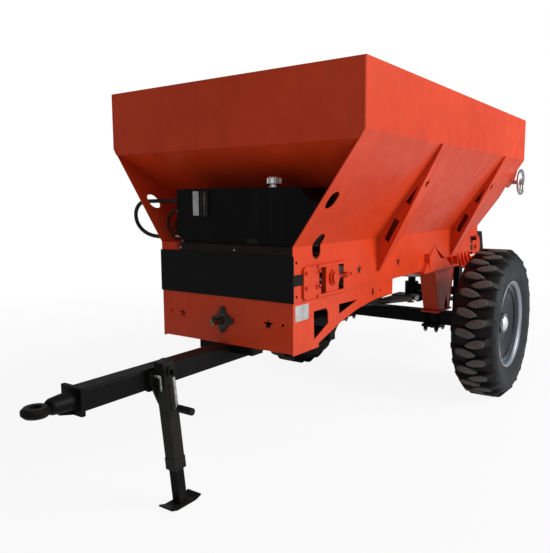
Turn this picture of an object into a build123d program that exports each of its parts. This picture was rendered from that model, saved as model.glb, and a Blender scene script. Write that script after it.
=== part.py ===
"""Two-wheel towed manure spreader: hopper, floor conveyor, spinners, drawbar, parking jack.

Lengths are millimetres. X points forwards, Y to the machine's left, Z up from the ground.
Everything is modelled with X = 0 at the hopper's front face, and moved once, when it is
written, so that the origin lies on the ground under the middle of the machine's box.
"""
from build123d import *
import os
from math import atan2, cos, degrees, hypot, pi, radians, sin, tan

os.makedirs("parts", exist_ok=True)

# ---- hopper ------------------------------------------------------------------------------
HOPPER_LENGTH = 2908.0        # front face to rear face, along the top
HOPPER_WIDTH = 1733.0         # over the outer faces, at the top
HOPPER_TOP = 2144.0
SIDE_CREASE = 1817.0          # where the upright band of a side turns inwards
FRONT_CREASE = 1777.0         # the same on the front wall
BOX_WIDTH = 934.0             # the conveyor box below the slopes
BOX_TOP = 1257.0
BOX_BOTTOM = 970.0
BOX_BEHIND = 92.0             # the box reaches this far behind the hopper
SHEET = 5.0
LIP = 30.0                    # folded edge round the top
FLANGE = 45.0                 # folded edge under the box
FRONT_SLOPE = 35.2            # degrees below level
FRONT_WALL_FOOT = 1200.0
REAR_WALL_FOOT = 1150.0
REAR_WALL_SET_BACK = 67.0     # the rear wall leans out to here, and then drops
REAR_WALL_KNEE = 1500.0
GATE_OPENING_WIDTH = 840.0
GATE_OPENING_TOP = 1480.0

# ---- conveyor ----------------------------------------------------------------------------
FRONT_SHAFT_X = -390.0
REAR_SHAFT_INSET = 40.0       # from the rear end of the box
SHAFT_Z = 1067.0
SHAFT_RADIUS = 25.0
SPROCKET_RADIUS = 58.0        # over the roots, where the chain lies
SPROCKET_WIDTH = 18.0
CHAIN_HEIGHT = 14.0
CHAIN_WIDTH = 26.0
CHAIN_TRACK = 640.0           # between the two chains' middles
SLAT_PITCH = 240.0
SLAT_WIDTH = 40.0
SLAT_HEIGHT = 12.0
SLAT_LENGTH = 840.0
WRAP_LINKS = 6                # links that lie round half a sprocket
FLOOR_GAP = 4.0               # between the floor plate and the chain that slides on it

# ---- wheels and axle ---------------------------------------------------------------------
AXLE_FROM_REAR = 758.0        # from the hopper's rear face forwards
WHEEL_Z = 560.0
TRACK = 1738.0                # between the tyres' middles
TYRE_RADIUS = 560.0           # over the lugs
TYRE_WIDTH = 320.0
RIM_RADIUS = 327.0
RIM_WIDTH = 268.0
LUG_HEIGHT = 36.0
LUGS_PER_ROW = 24
LUG_SLANT = 0.19              # how far a lug runs along the tread for each unit across it
AXLE_TUBE = 100.0
AXLE_TOP = 603.0
AXLE_END = 149.0              # from a tyre's middle in to the end of the square tube
SPINDLE_RADIUS = 35.0
HUB_RADIUS = 62.0
BEARING_GAP = 0.3             # round each turning piece

# ---- drawbar, eye and jack ---------------------------------------------------------------
DRAWBAR_TUBE = 100.0
DRAWBAR_BOTTOM = AXLE_TOP
DRAWBAR_FRONT = 985.0
DRAWBAR_REAR = -1180.0
EYE_X = 1174.0
EYE_RADIUS = 60.0
EYE_HOLE = 25.0
EYE_THICKNESS = 40.0
JACK_FOOT_X = 482.0
JACK_PIVOT_X = 560.0          # the jack leans, with its top further forward
JACK_Y = 111.0
JACK_TUBE = 65.0
JACK_WALL = 5.0
JACK_LEG = 50.0
JACK_TUBE_BOTTOM = 200.0      # these three along the leaning jack, from the ground
JACK_TUBE_TOP = 752.0
CRANK_HEIGHT = 708.0
JACK_COLLAR = 70.0
JACK_COLLAR_HEIGHT = 62.0
JACK_FOOT_LENGTH = 207.0
JACK_FOOT_WIDTH = 90.0
JACK_PIN_RADIUS = 20.0
CRANK_ARM = 185.0

# ---- drive line and spinners -------------------------------------------------------------
INPUT_Z = 837.0
INPUT_REACH = 96.0            # the splined stub in front of the panel
SPLINE_RADIUS = 17.4
GEARBOX_Z = 600.0
FRONT_JOINT_X = -160.0
REAR_JOINT_REACH = 145.0      # from the gearbox neck forwards
GEARBOX_NECK = 530.0          # from the spinners forwards
SPINNER_BEHIND = 330.0        # behind the box
SPINNER_SPACING = 570.0
DISC_RADIUS = 275.0
DISC_Z = 740.0
DISC_THICKNESS = 6.0
VANE_HEIGHT = 60.0
VANES = 4
HOOD_SHEET = 5.0

# ---- rear gate ---------------------------------------------------------------------------
GATE_THICKNESS = 6.0
GATE_TOP = 1505.0
GATE_GAP = 5.0
GATE_SHAFT_BEHIND = 65.0      # behind the rear wall
GATE_SHAFT_Z = 1640.0
GATE_SHAFT_RADIUS = 17.0
PINION_RADIUS = 32.0          # pitch radius
RACK_Y = 250.0
RACK_WIDTH = 25.0
HANDWHEEL_RADIUS = 112.0
HANDWHEEL_Y = 815.0

# ---- sizes that follow -------------------------------------------------------------------
HALF_TOP = HOPPER_WIDTH / 2
HALF_BOX = BOX_WIDTH / 2
SLOPE_LENGTH = hypot(HALF_TOP - HALF_BOX, SIDE_CREASE - BOX_TOP)
SLOPE_OUT = ((SIDE_CREASE - BOX_TOP) / SLOPE_LENGTH, -(HALF_TOP - HALF_BOX) / SLOPE_LENGTH)
BOX_LENGTH = HOPPER_LENGTH + BOX_BEHIND
REAR_SHAFT_X = REAR_SHAFT_INSET - BOX_LENGTH
REAR_WALL_X = -HOPPER_LENGTH - REAR_WALL_SET_BACK
GATE_SHAFT_X = REAR_WALL_X - GATE_SHAFT_BEHIND
AXLE_X = AXLE_FROM_REAR - HOPPER_LENGTH
SPINNER_X = -BOX_LENGTH - SPINNER_BEHIND
GEARBOX_NECK_X = SPINNER_X + GEARBOX_NECK
REAR_JOINT_X = GEARBOX_NECK_X + REAR_JOINT_REACH
GATE_X = REAR_WALL_X - SHEET - GATE_GAP
FLOOR_Z = SHAFT_Z + SPROCKET_RADIUS - FLOOR_GAP
AXLE_Z = AXLE_TOP - AXLE_TUBE / 2
AXLE_LENGTH = TRACK - 2 * AXLE_END
DRAWBAR_Z = DRAWBAR_BOTTOM + DRAWBAR_TUBE / 2
JACK_LEAN = degrees(atan2(JACK_PIVOT_X - JACK_FOOT_X, DRAWBAR_Z))
JACK_PIVOT = hypot(JACK_PIVOT_X - JACK_FOOT_X, DRAWBAR_Z)
FRONT_REACH = EYE_X + EYE_RADIUS
REAR_REACH = SPINNER_X - DISC_RADIUS
MIDDLE_X = (FRONT_REACH + REAR_REACH) / 2


# ---- ways of making things ---------------------------------------------------------------
def block(x, y, z):
    """A box from its limits along each axis, in either order."""
    middle = Pos((x[0] + x[1]) / 2, (y[0] + y[1]) / 2, (z[0] + z[1]) / 2)
    return middle * Box(abs(x[1] - x[0]), abs(y[1] - y[0]), abs(z[1] - z[0]))


def face_of(outline):
    """A face from (u, v) points, or from edges."""
    if isinstance(outline[0], tuple):
        return make_face(Polyline(*outline, close=True))
    return make_face(outline)


def across_y(outline, y):
    """An (x, z) outline made solid between two limits of Y."""
    plane = Plane(origin=(0, min(y), 0), x_dir=(1, 0, 0), z_dir=(0, -1, 0))
    return extrude(plane * face_of(outline), amount=abs(y[1] - y[0]), dir=(0, 1, 0))


def along_x(outline, x):
    """A (y, z) outline made solid between two limits of X."""
    plane = Plane(origin=(min(x), 0, 0), x_dir=(0, 1, 0), z_dir=(1, 0, 0))
    return extrude(plane * face_of(outline), amount=abs(x[1] - x[0]), dir=(1, 0, 0))


def upright(outline, z):
    """An (x, y) outline made solid between two heights."""
    return extrude(Pos(0, 0, min(z)) * face_of(outline), amount=abs(z[1] - z[0]), dir=(0, 0, 1))


def rod(start, end, radius):
    """A round bar between two points."""
    way = Vector(*end) - Vector(*start)
    return Solid.make_cylinder(radius, way.length, Plane(origin=start, z_dir=way))


def turned(outline, centre, axis):
    """An outline of (radius, height) points turned about an axis through the centre."""
    ring = revolve(Plane.XZ * face_of(outline), axis=Axis.Z, revolution_arc=360)
    return Plane(origin=centre, z_dir=axis).location * ring


def folded(points, thickness):
    """The outline of a bent sheet: the points, and a copy of them set off to their left."""
    inner = []
    for i, (u, v) in enumerate(points):
        before = points[i - 1] if i else None
        after = points[i + 1] if i + 1 < len(points) else None
        normals = []
        for a, b in ((before, (u, v)), ((u, v), after)):
            if a and b:
                run = hypot(b[0] - a[0], b[1] - a[1])
                normals.append(((a[1] - b[1]) / run, (b[0] - a[0]) / run))
        nu = sum(n[0] for n in normals)
        nv = sum(n[1] for n in normals)
        stretch = thickness * len(normals) / (nu * nu + nv * nv)
        if len(normals) == 1:
            stretch = thickness
        inner.append((u + nu * stretch, v + nv * stretch))
    return list(points) + inner[::-1]


def star(radius):
    """A five-pointed star with one point up."""
    reach = (radius, radius * 0.382)
    turns = [pi / 2 + i * pi / 5 for i in range(10)]
    return face_of([(reach[i % 2] * cos(a), reach[i % 2] * sin(a)) for i, a in enumerate(turns)])


def both_sides(solid):
    """The piece and its mirror image on the machine's right."""
    return solid + mirror(solid, about=Plane.XZ)


def slope_y(z):
    """Half the hopper's outer width at a height on its slope."""
    return HALF_BOX + (HALF_TOP - HALF_BOX) * (z - BOX_TOP) / (SIDE_CREASE - BOX_TOP)


# ---- hopper shell ------------------------------------------------------------------------
STAR_RADIUS = 38.0
BOX_STARS = (-716.0, -1283.0)
STAR_Z = 1078.0
SIDE_BOLT_HOLES = ((-32.0, 1177.0), (-32.0, 1000.0))
SIDE_BOLT_RADIUS = 9.0
TENSIONER_WINDOW = ((-255.0, -527.0), (988.0, 1148.0))
REAR_WINDOW = ((REAR_SHAFT_X + 148, REAR_SHAFT_X - 28), (996.0, 1172.0))
REAR_WINDOW_BARS = (1105.0, 1042.0)
EAR_RADIUS = 48.0
# x and z of each oval hole for hoses, and its length up the sheet
HOSE_HOLES = ((-101.0, 1493.0, 104.0), (-225.0, BOX_TOP, 142.0))
HOSE_HOLE_WIDTH = 84.0


# the outer face of the left side, from its folded lip down to the flange at its foot
SIDE_LINE = ((HALF_TOP - LIP, HOPPER_TOP), (HALF_TOP, HOPPER_TOP), (HALF_TOP, SIDE_CREASE),
             (HALF_BOX, BOX_TOP), (HALF_BOX, BOX_BOTTOM), (HALF_BOX - FLANGE, BOX_BOTTOM))


def side_outline():
    """The side seen from beside it, with the ear for the gate shaft and the rounded tail."""
    ear = (GATE_SHAFT_X, GATE_SHAFT_Z)
    tail_x, tail_r = -BOX_LENGTH, 95.0
    tail_z = SHAFT_Z + 13.0
    upper = Polyline(
        (-BOX_LENGTH, tail_z - tail_r), (-BOX_LENGTH, BOX_BOTTOM), (0, BOX_BOTTOM), (0, HOPPER_TOP),
        (-HOPPER_LENGTH, HOPPER_TOP), (-HOPPER_LENGTH, SIDE_CREASE), (ear[0] + 112, ear[1] + 101),
        (ear[0] - EAR_RADIUS * 0.94, ear[1] + EAR_RADIUS * 0.34),
    )
    lobe = ThreePointArc(
        upper @ 1, (ear[0] - EAR_RADIUS * 0.64, ear[1] - EAR_RADIUS * 0.77),
        (ear[0] + EAR_RADIUS * 0.34, ear[1] - EAR_RADIUS * 0.94),
    )
    notch = Polyline(
        lobe @ 1, (ear[0] + 90, ear[1] - 38), (ear[0] + 55, ear[1] - 78),
        (ear[0] + 28, ear[1] - 140), (-BOX_LENGTH, BOX_TOP),
        (-BOX_LENGTH, tail_z + tail_r),
    )
    tail = ThreePointArc(notch @ 1, (tail_x - tail_r, tail_z), upper @ 0)
    return [upper, lobe, notch, tail]


def hose_hole(x, z, length):
    """A long round-ended cutter that stands square to the sheet at that height."""
    lean = SLOPE_OUT if z > BOX_TOP else ((1 + SLOPE_OUT[0]) / 2, SLOPE_OUT[1] / 2)
    place = Plane(origin=(x, slope_y(z), z), x_dir=(1, 0, 0), z_dir=(0, lean[0], lean[1]))
    shape = Rot(0, 0, 90) * SlotOverall(length, HOSE_HOLE_WIDTH)
    return extrude(place * shape, amount=80, both=True)


def hopper_side():
    """The left side: one sheet folded at the lip, the crease, the box top and the foot."""
    sheet = along_x(folded(SIDE_LINE, -SHEET), (0, GATE_SHAFT_X - 2 * EAR_RADIUS))
    sheet &= across_y(side_outline(), (0, HALF_TOP + SHEET))
    wall = (HALF_BOX - 2 * SHEET, HALF_BOX + SHEET)
    for x in BOX_STARS:
        place = Plane(origin=(x, HALF_BOX, STAR_Z), x_dir=(-1, 0, 0), z_dir=(0, 1, 0))
        sheet -= extrude(place * star(STAR_RADIUS), amount=3 * SHEET, both=True)
    for x, z in SIDE_BOLT_HOLES:
        sheet -= rod((x, wall[0], z), (x, wall[1], z), SIDE_BOLT_RADIUS)
    for x, z, length in HOSE_HOLES:
        sheet -= hose_hole(x, z, length)
    sheet -= block(TENSIONER_WINDOW[0], wall, TENSIONER_WINDOW[1])
    window = block(REAR_WINDOW[0], wall, REAR_WINDOW[1])
    for z in REAR_WINDOW_BARS:
        window -= block(REAR_WINDOW[0], wall, (z - 6, z + 6))
    sheet -= window
    shaft_y = slope_y(GATE_SHAFT_Z)
    sheet -= rod((GATE_SHAFT_X, shaft_y - 90, GATE_SHAFT_Z), (GATE_SHAFT_X, shaft_y + 90, GATE_SHAFT_Z),
                 GATE_SHAFT_RADIUS + BEARING_GAP)
    return sheet


def hopper_space(x):
    """The room between the two sides, as a solid."""
    inner = folded(SIDE_LINE, -SHEET)[len(SIDE_LINE):][::-1]
    outline = [(HALF_TOP - LIP, HOPPER_TOP + 1)] + inner[:-1]
    outline += [(-y, z) for y, z in outline[::-1]]
    return along_x(outline, x)


def front_wall():
    """Upright band and slope of the hopper's front, cut to lie between the sides."""
    run = (FRONT_CREASE - FRONT_WALL_FOOT) / sin(radians(FRONT_SLOPE)) * cos(radians(FRONT_SLOPE))
    profile = folded(
        [(-run, FRONT_WALL_FOOT - 45), (-run, FRONT_WALL_FOOT), (0, FRONT_CREASE),
         (0, HOPPER_TOP), (-LIP, HOPPER_TOP)], SHEET)
    sheet = across_y(profile, (-HALF_TOP, HALF_TOP))
    return sheet & hopper_space((1, -run - 2 * SHEET))


def rear_wall():
    """The rear wall leans out to the gate opening, which the gate closes from behind."""
    profile = folded(
        [(LIP - HOPPER_LENGTH, HOPPER_TOP), (-HOPPER_LENGTH, HOPPER_TOP),
         (-HOPPER_LENGTH, SIDE_CREASE), (REAR_WALL_X, REAR_WALL_KNEE),
         (REAR_WALL_X, REAR_WALL_FOOT)], SHEET)
    sheet = across_y(profile, (-HALF_TOP, HALF_TOP))
    sheet &= hopper_space((LIP - HOPPER_LENGTH, REAR_WALL_X - 2 * SHEET))
    half = GATE_OPENING_WIDTH / 2
    return sheet - block((REAR_WALL_X - 2 * SHEET, REAR_WALL_X + 2 * SHEET), (-half, half),
                         (REAR_WALL_FOOT - 1, GATE_OPENING_TOP))


# ---- ribs on the slopes ------------------------------------------------------------------
RIB_X = (-960.0, AXLE_X - 145) # front faces
RIB_WIDTH = 106.0
RIB_FOOT_Z = 1046.0
# height and face width down a rib
RIB_TAPER = ((SIDE_CREASE, 52.0), (1600.0, RIB_WIDTH), (1290.0, RIB_WIDTH), (RIB_FOOT_Z, 26.0))
RIB_PROUD = 13.0              # how far its face stands off the side at both its ends
# corners (y, z) of the slots through a rib's front web
RIB_SLOTS = (((734.0, 1585.0), (681.0, 1466.0), (652.0, 1479.0)),
             ((582.0, 1383.0), (616.0, 1363.0), (542.0, 1228.0), (515.0, 1253.0)))
RIB_STAR_Z = 1591.0
RIB_STAR_RADIUS = 36.0


def rib_face_y(z):
    """Where a rib's sloping face stands at a height."""
    rise = (z - RIB_FOOT_Z) / (SIDE_CREASE - RIB_FOOT_Z)
    return HALF_BOX + RIB_PROUD + (HALF_TOP - HALF_BOX) * rise


def rib_wedge(inset):
    """The wedge between the slope and a rib's face, narrowed along its taper."""
    drop = inset * hypot(1, (SIDE_CREASE - RIB_FOOT_Z) / (HALF_TOP - HALF_BOX))
    proud = rib_face_y(SIDE_CREASE)
    side = [(HALF_TOP, SIDE_CREASE), (HALF_BOX, BOX_TOP), (HALF_BOX, RIB_FOOT_Z + drop),
            (HALF_BOX + RIB_PROUD, RIB_FOOT_Z + drop), (proud, SIDE_CREASE + drop)]
    taper = [(inset - width, z) for z, width in RIB_TAPER]
    outline = [(-inset, SIDE_CREASE), *taper, (-inset, RIB_FOOT_Z)]
    return along_x(side, (0, -RIB_WIDTH)) & across_y(outline, (HALF_BOX, proud))


def rib():
    """One folded rib: a face and two webs, open towards the hopper, with slots and a star."""
    channel = rib_wedge(0) - rib_wedge(SHEET)
    for slot in RIB_SLOTS:
        channel -= along_x(slot, (SHEET, -2 * SHEET))
    place = Plane(origin=(-0.6 * RIB_WIDTH, rib_face_y(RIB_STAR_Z), RIB_STAR_Z), x_dir=(-1, 0, 0),
                  z_dir=(0, SIDE_CREASE - RIB_FOOT_Z, HALF_BOX - HALF_TOP))
    channel -= extrude(place * star(RIB_STAR_RADIUS), amount=3 * SHEET, both=True)
    return channel


def hopper_ribs():
    return both_sides(sum((Pos(x, 0, 0) * rib() for x in RIB_X[1:]), Pos(RIB_X[0], 0, 0) * rib()))


# ---- front of the conveyor box -----------------------------------------------------------
PANEL_BOTTOM = 703.0
PANEL_THICKNESS = 6.0
COVER_TOP = 1212.0
COVER_THICKNESS = 6.0
COVER_TONGUE = ((2.0, -80.0), (1058.0, 1114.0))
RAIL_THICKNESS = 6.0
PANEL_STARS = (-308.0, 308.0)
PANEL_STAR_Z = 845.0
PANEL_HOLES = ((-402.0, 851.0), (402.0, 851.0))
INPUT_BOLT_CIRCLE = 61.0


def front_rail():
    """Angle across the top of the box: it clamps the cover and carries the tank."""
    slope_foot = (FRONT_CREASE - BOX_TOP) / sin(radians(FRONT_SLOPE)) * cos(radians(FRONT_SLOPE))
    profile = folded([(0, COVER_TOP), (0, BOX_TOP), (10 - slope_foot, BOX_TOP)], RAIL_THICKNESS)
    return across_y(profile, (SHEET - HALF_BOX, HALF_BOX - SHEET))


def front_cover():
    """Rubber cover over the front of the conveyor, with a tongue round each side."""
    half = HALF_BOX + COVER_THICKNESS
    sheet = block((0, COVER_THICKNESS), (-half, half), (BOX_BOTTOM, COVER_TOP))
    return sheet + both_sides(block(COVER_TONGUE[0], (HALF_BOX, half), COVER_TONGUE[1]))


def front_panel():
    """Lower front plate, between the two bracket plates, with stars and the input's hole."""
    sheet = block((0, -PANEL_THICKNESS), (SHEET - HALF_BOX, HALF_BOX - SHEET),
                  (PANEL_BOTTOM, BOX_BOTTOM))
    for y in PANEL_STARS:
        place = Plane(origin=(0, y, PANEL_STAR_Z), x_dir=(0, 1, 0), z_dir=(1, 0, 0))
        sheet -= extrude(place * star(36), amount=3 * PANEL_THICKNESS, both=True)
    for y, z in PANEL_HOLES:
        sheet -= rod((-2 * PANEL_THICKNESS, y, z), (PANEL_THICKNESS, y, z), 9)
    return sheet - rod((-2 * PANEL_THICKNESS, 0, INPUT_Z), (PANEL_THICKNESS, 0, INPUT_Z), 36)


def bracket_plate():
    """Lower side plate, which deepens towards the front, with two windows."""
    edge = Polyline((-666, 832), (-514, 797), (-252, 717), (-252, 695), (0, 695),
                    (0, BOX_BOTTOM), (-1200, BOX_BOTTOM), (-1200, 867), (-1007, 869))
    bow = ThreePointArc(edge @ 1, (-835, 856), edge @ 0)
    plate = across_y([edge, bow], (HALF_BOX - SHEET, HALF_BOX))
    wall = (HALF_BOX - 3 * SHEET, HALF_BOX + SHEET)
    plate -= across_y([(-199, 901), (-330, 901), (-351, 880), (-356, 811), (-205, 744)], wall)
    plate -= across_y([(-476, 901), (-707, 897), (-478, 843)], wall)
    plate -= across_y([Pos(-907, 920) * e for e in SlotOverall(46, 22).rotate(Axis.Z, 90).edges()], wall)
    return plate - rod((-1016, wall[0], 916), (-1016, wall[1], 916), 9)


# ---- oil tank ----------------------------------------------------------------------------
# x and z of the hose ports on the tank's right end, and of the unions on the block below it
TANK_PORTS = ((-95.0, 1492.0), (-80.0, 1436.0), (-118.0, 1399.0))
BLOCK_UNIONS = ((-226.0, 1276.0), (-104.0, 1282.0), (-136.0, 1284.0))
PORT_END = -365.0
UNION_END = -407.0
PORT_RADIUS = 15.0
TANK_FRONT = -20.0
TANK_DEPTH = 270.0
TANK_TOP = 1560.0
TANK_RIGHT = -353.0
CAP_Y = 289.0


def oil_tank():
    """Welded oil tank on the front rail, cut off to follow the left slope, with its ports."""
    gap = 8.0
    outline = [(TANK_RIGHT, TANK_TOP), (497, TANK_TOP), (slope_y(1433) - SHEET - gap, 1433),
               (HALF_BOX - SHEET - gap + 2, BOX_TOP), (TANK_RIGHT + 55, BOX_TOP),
               (TANK_RIGHT, BOX_TOP + 45)]
    tank = along_x(outline, (TANK_FRONT, TANK_FRONT - TANK_DEPTH))
    for x, z in TANK_PORTS:
        tank += rod((x, TANK_RIGHT + 5, z), (x, PORT_END, z), PORT_RADIUS)
    return tank


def hose_block():
    """Block bolted to the rail, with the unions where the hoses end."""
    base = block((-84, -248), (TANK_RIGHT + 2, PORT_END - 20), (BOX_TOP, BOX_TOP + 38))
    for x, z in BLOCK_UNIONS:
        base += rod((x, PORT_END - 10, z), (x, UNION_END, z), PORT_RADIUS - 1)
    return base


def breather_cap():
    """Filler and breather on the tank: a flange, a neck and a capped crown."""
    outline = [(0, 0), (34, 0), (34, 7), (24, 7), (24, 16), (39, 20), (39, 52), (33, 60), (0, 60)]
    return turned(outline, (TANK_FRONT - 70, CAP_Y, TANK_TOP), (0, 0, 1))


# ---- conveyor ----------------------------------------------------------------------------
def chain_outline(radius):
    """Corners (x, z) of a loop whose links lie flat on sprockets of that radius."""
    step = 180 / WRAP_LINKS
    reach = radius / cos(radians(step / 2))
    corners = []
    for x, first in ((FRONT_SHAFT_X, 90), (REAR_SHAFT_X, -90)):
        turns = [radians(first - step * (i + 0.5)) for i in range(WRAP_LINKS)]
        corners += [(x + reach * cos(a), SHAFT_Z + reach * sin(a)) for a in turns]
    return corners


def slat_places(radius):
    """Where each slat lies on the loop: along a straight run, or flat on a link of a bend."""
    corners = [Vector(x, 0, z) for x, z in chain_outline(radius)]
    runs = list(zip(corners, corners[1:] + corners[:1]))
    length = sum((b - a).length for a, b in runs)
    count = round(length / SLAT_PITCH)
    places = []
    for i in range(count):
        way = (i + 0.3) * length / count
        for a, b in runs:
            run = (b - a).length
            if way < run:
                break
            way -= run
        if run < 2 * SLAT_WIDTH:
            way = run / 2
        along = (b - a).normalized()
        places.append(Plane(origin=a + along * way, x_dir=along, z_dir=along.cross(Vector(0, 1, 0))))
    return places


def conveyor_chain():
    """Two endless chains and the slats bolted across them, as one loop."""
    outer = SPROCKET_RADIUS + CHAIN_HEIGHT
    chain = Part()
    for y in (-CHAIN_TRACK / 2, CHAIN_TRACK / 2):
        width = (y - CHAIN_WIDTH / 2, y + CHAIN_WIDTH / 2)
        chain += across_y(chain_outline(outer), width) - across_y(chain_outline(SPROCKET_RADIUS), width)
    slat = Box(SLAT_WIDTH, SLAT_LENGTH, SLAT_HEIGHT)
    return chain + [p.location * slat for p in slat_places(outer + SLAT_HEIGHT / 2 - 1)]


def conveyor_shaft(x, reach):
    """A conveyor shaft with its two sprockets, toothed where they show between the slats."""
    shaft = rod((x, -reach, SHAFT_Z), (x, reach, SHAFT_Z), SHAFT_RADIUS)
    for y in (-CHAIN_TRACK / 2, CHAIN_TRACK / 2):
        half = SPROCKET_WIDTH / 2
        shaft += rod((x, y - half, SHAFT_Z), (x, y + half, SHAFT_Z), SPROCKET_RADIUS - 0.5)
        shaft += rod((x, y - 2.2 * half, SHAFT_Z), (x, y + 2.2 * half, SHAFT_Z), 1.6 * SHAFT_RADIUS)
    return shaft


def floor_plate():
    """The floor under the upper strand, with its edges turned down."""
    half = HALF_BOX - SHEET
    x = (FRONT_SHAFT_X - 90, REAR_SHAFT_X + 90)
    plate = block(x, (-half, half), (FLOOR_Z - SHEET, FLOOR_Z))
    for side in (-1, 1):
        plate += block(x, (side * half, side * (half - SHEET)), (FLOOR_Z - 70, FLOOR_Z))
    return plate


def tensioner():
    """Sliding bearing of the front shaft: plate with two rails, bearing block, ring and bolt."""
    outer = HALF_BOX + 12
    wall = (HALF_BOX, outer)
    x, z = TENSIONER_WINDOW
    plate = block((-84, x[0]), wall, (z[0] - 12, z[1] + 2))
    plate = fillet(plate.edges().filter_by(Axis.Y).group_by(Axis.X)[-1], 26)
    plate -= block((-200, x[0] - 1), (HALF_BOX - 1, outer + 1), (SHAFT_Z - 45, SHAFT_Z + 45))
    for low, high in ((z[0] - 12, z[0] + 2), (z[1] - 12, z[1] + 2)):
        plate += block((x[0] + 40, x[1]), (HALF_BOX, outer + 8), (low, high))
    carrier = block((FRONT_SHAFT_X + 78, FRONT_SHAFT_X - 62), (HALF_BOX - 18, outer - 2),
                    (z[0] + 2, z[1] - 12))
    for radius, reach in ((46, 8), (34, 20)):
        carrier += rod((FRONT_SHAFT_X, outer - 3, SHAFT_Z), (FRONT_SHAFT_X, outer + reach, SHAFT_Z), radius)
    carrier -= rod((FRONT_SHAFT_X, HALF_BOX - 40, SHAFT_Z), (FRONT_SHAFT_X, outer + 10, SHAFT_Z),
                   SHAFT_RADIUS)
    bolt = rod((FRONT_SHAFT_X - 60, HALF_BOX + 10, SHAFT_Z), (x[1] - 80, HALF_BOX + 10, SHAFT_Z), 8)
    return plate + carrier + bolt


def rear_bearing():
    """Housing of the rear shaft behind the window in the side."""
    y = (HALF_BOX - SHEET - 42, HALF_BOX - SHEET)
    housing = block((REAR_SHAFT_X + 62, REAR_SHAFT_X - 30), y, (SHAFT_Z - 62, SHAFT_Z + 62))
    housing += rod((REAR_SHAFT_X, y[0] - 10, SHAFT_Z), (REAR_SHAFT_X, y[0] + 30, SHAFT_Z), 40)
    bore = rod((REAR_SHAFT_X, y[0] - 20, SHAFT_Z), (REAR_SHAFT_X, y[1] + 1, SHAFT_Z), SHAFT_RADIUS)
    return housing - bore


def conveyor_drive():
    """Reducer and oil motor on the right end of the rear shaft."""
    centre = (REAR_SHAFT_X, -HALF_BOX, SHAFT_Z)
    outline = [(0, 0), (92, 0), (92, 16), (74, 20), (74, 96), (56, 104), (56, 118), (46, 122),
               (46, 222), (40, 230), (0, 230)]
    body = turned(outline, centre, (0, -1, 0))
    ports = [(REAR_SHAFT_X + side * 22, -HALF_BOX - 196, SHAFT_Z + 40) for side in (-1, 1)]
    for port in ports:
        body += rod(port, (port[0], port[1], port[2] + 26), 13)
    return body - rod((REAR_SHAFT_X, -HALF_BOX + 1, SHAFT_Z), (REAR_SHAFT_X, -HALF_BOX - 60, SHAFT_Z),
                      SHAFT_RADIUS)


# ---- pillars, axle and wheels ------------------------------------------------------------
PILLAR_Y = (345.0, 470.0)
PILLAR_TOP_X = (AXLE_X + 187, AXLE_X - 238)
PILLAR_FOOT_X = (AXLE_X + 79, AXLE_X - 154)
PILLAR_WALL = 8.0
PILLAR_PLATE = 14.0
SHOULDER_X = (AXLE_X + 495, AXLE_X - 250)
SHOULDER_PROUD = 44.0
GUSSET_APEX = (AXLE_X + 184, 1152.0)
GUSSET_FOOT_X = (AXLE_X + 495, AXLE_X - 65)
GUSSET_SLOT = ((AXLE_X + 198, 1140.0), (AXLE_X + 138, 1048.0), (AXLE_X + 32, 1030.0))
# x and upper end of the fins beside the gusset
SHOULDER_FINS = ((AXLE_X + 385, 1095.0), (AXLE_X - 100, 1036.0), (AXLE_X - 225, 1036.0))
REAR_BRACKET_X = (520 - BOX_LENGTH, 230 - BOX_LENGTH)
REAR_BRACKET_Z = (930.0, 1048.0)


def pillar():
    """Tapered box post between the axle and the box, with a shoulder welded to the side."""
    foot, head = AXLE_TOP + PILLAR_PLATE, BOX_BOTTOM - PILLAR_PLATE
    outline = [(PILLAR_TOP_X[0], head), (PILLAR_TOP_X[1], head), (PILLAR_FOOT_X[1], foot),
               (PILLAR_FOOT_X[0], foot)]
    post = across_y(outline, PILLAR_Y)
    room = [(x + (PILLAR_WALL if x < AXLE_X else -PILLAR_WALL), z) for x, z in outline]
    post -= across_y(room, (PILLAR_Y[0] + PILLAR_WALL, PILLAR_Y[1] - PILLAR_WALL))
    notch_x = PILLAR_FOOT_X[1] + 70
    post -= across_y([(notch_x - 42, foot), (notch_x + 42, foot), (notch_x, foot + 130)],
                     (PILLAR_Y[1] - 2 * PILLAR_WALL, PILLAR_Y[1] + 1))
    post += block((PILLAR_FOOT_X[0] + 25, PILLAR_FOOT_X[1] - 25), (PILLAR_Y[0] - 12, PILLAR_Y[1] + 12),
                  (AXLE_TOP, foot))
    post += block(SHOULDER_X, (PILLAR_Y[0] - 10, HALF_BOX + SHOULDER_PROUD), (head, BOX_BOTTOM))
    return post + shoulder()


def shoulder():
    """Folded gusset on the box side, spreading from its apex, with fins beside it."""
    lean = (GUSSET_APEX[1] - BOX_BOTTOM) / SHOULDER_PROUD
    front = across_y([GUSSET_APEX, (GUSSET_FOOT_X[0], BOX_BOTTOM), (GUSSET_FOOT_X[1], BOX_BOTTOM)],
                     (HALF_BOX, HALF_BOX + SHOULDER_PROUD))
    skin = [(HALF_BOX, BOX_BOTTOM), (HALF_BOX + SHOULDER_PROUD, BOX_BOTTOM),
            (HALF_BOX + 6, GUSSET_APEX[1] - 6 * lean), (HALF_BOX + 6, GUSSET_APEX[1] + 6),
            (HALF_BOX, GUSSET_APEX[1] + 6)]
    wedge = front & along_x(skin, GUSSET_FOOT_X)
    wedge -= across_y(GUSSET_SLOT, (HALF_BOX - 1, HALF_BOX + SHOULDER_PROUD + 1))
    for x, top in SHOULDER_FINS:
        wedge += along_x([(HALF_BOX, BOX_BOTTOM), (HALF_BOX + SHOULDER_PROUD, BOX_BOTTOM),
                          (HALF_BOX + SHOULDER_PROUD - 6, top), (HALF_BOX, top)], (x - 5, x + 5))
    return wedge


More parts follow.
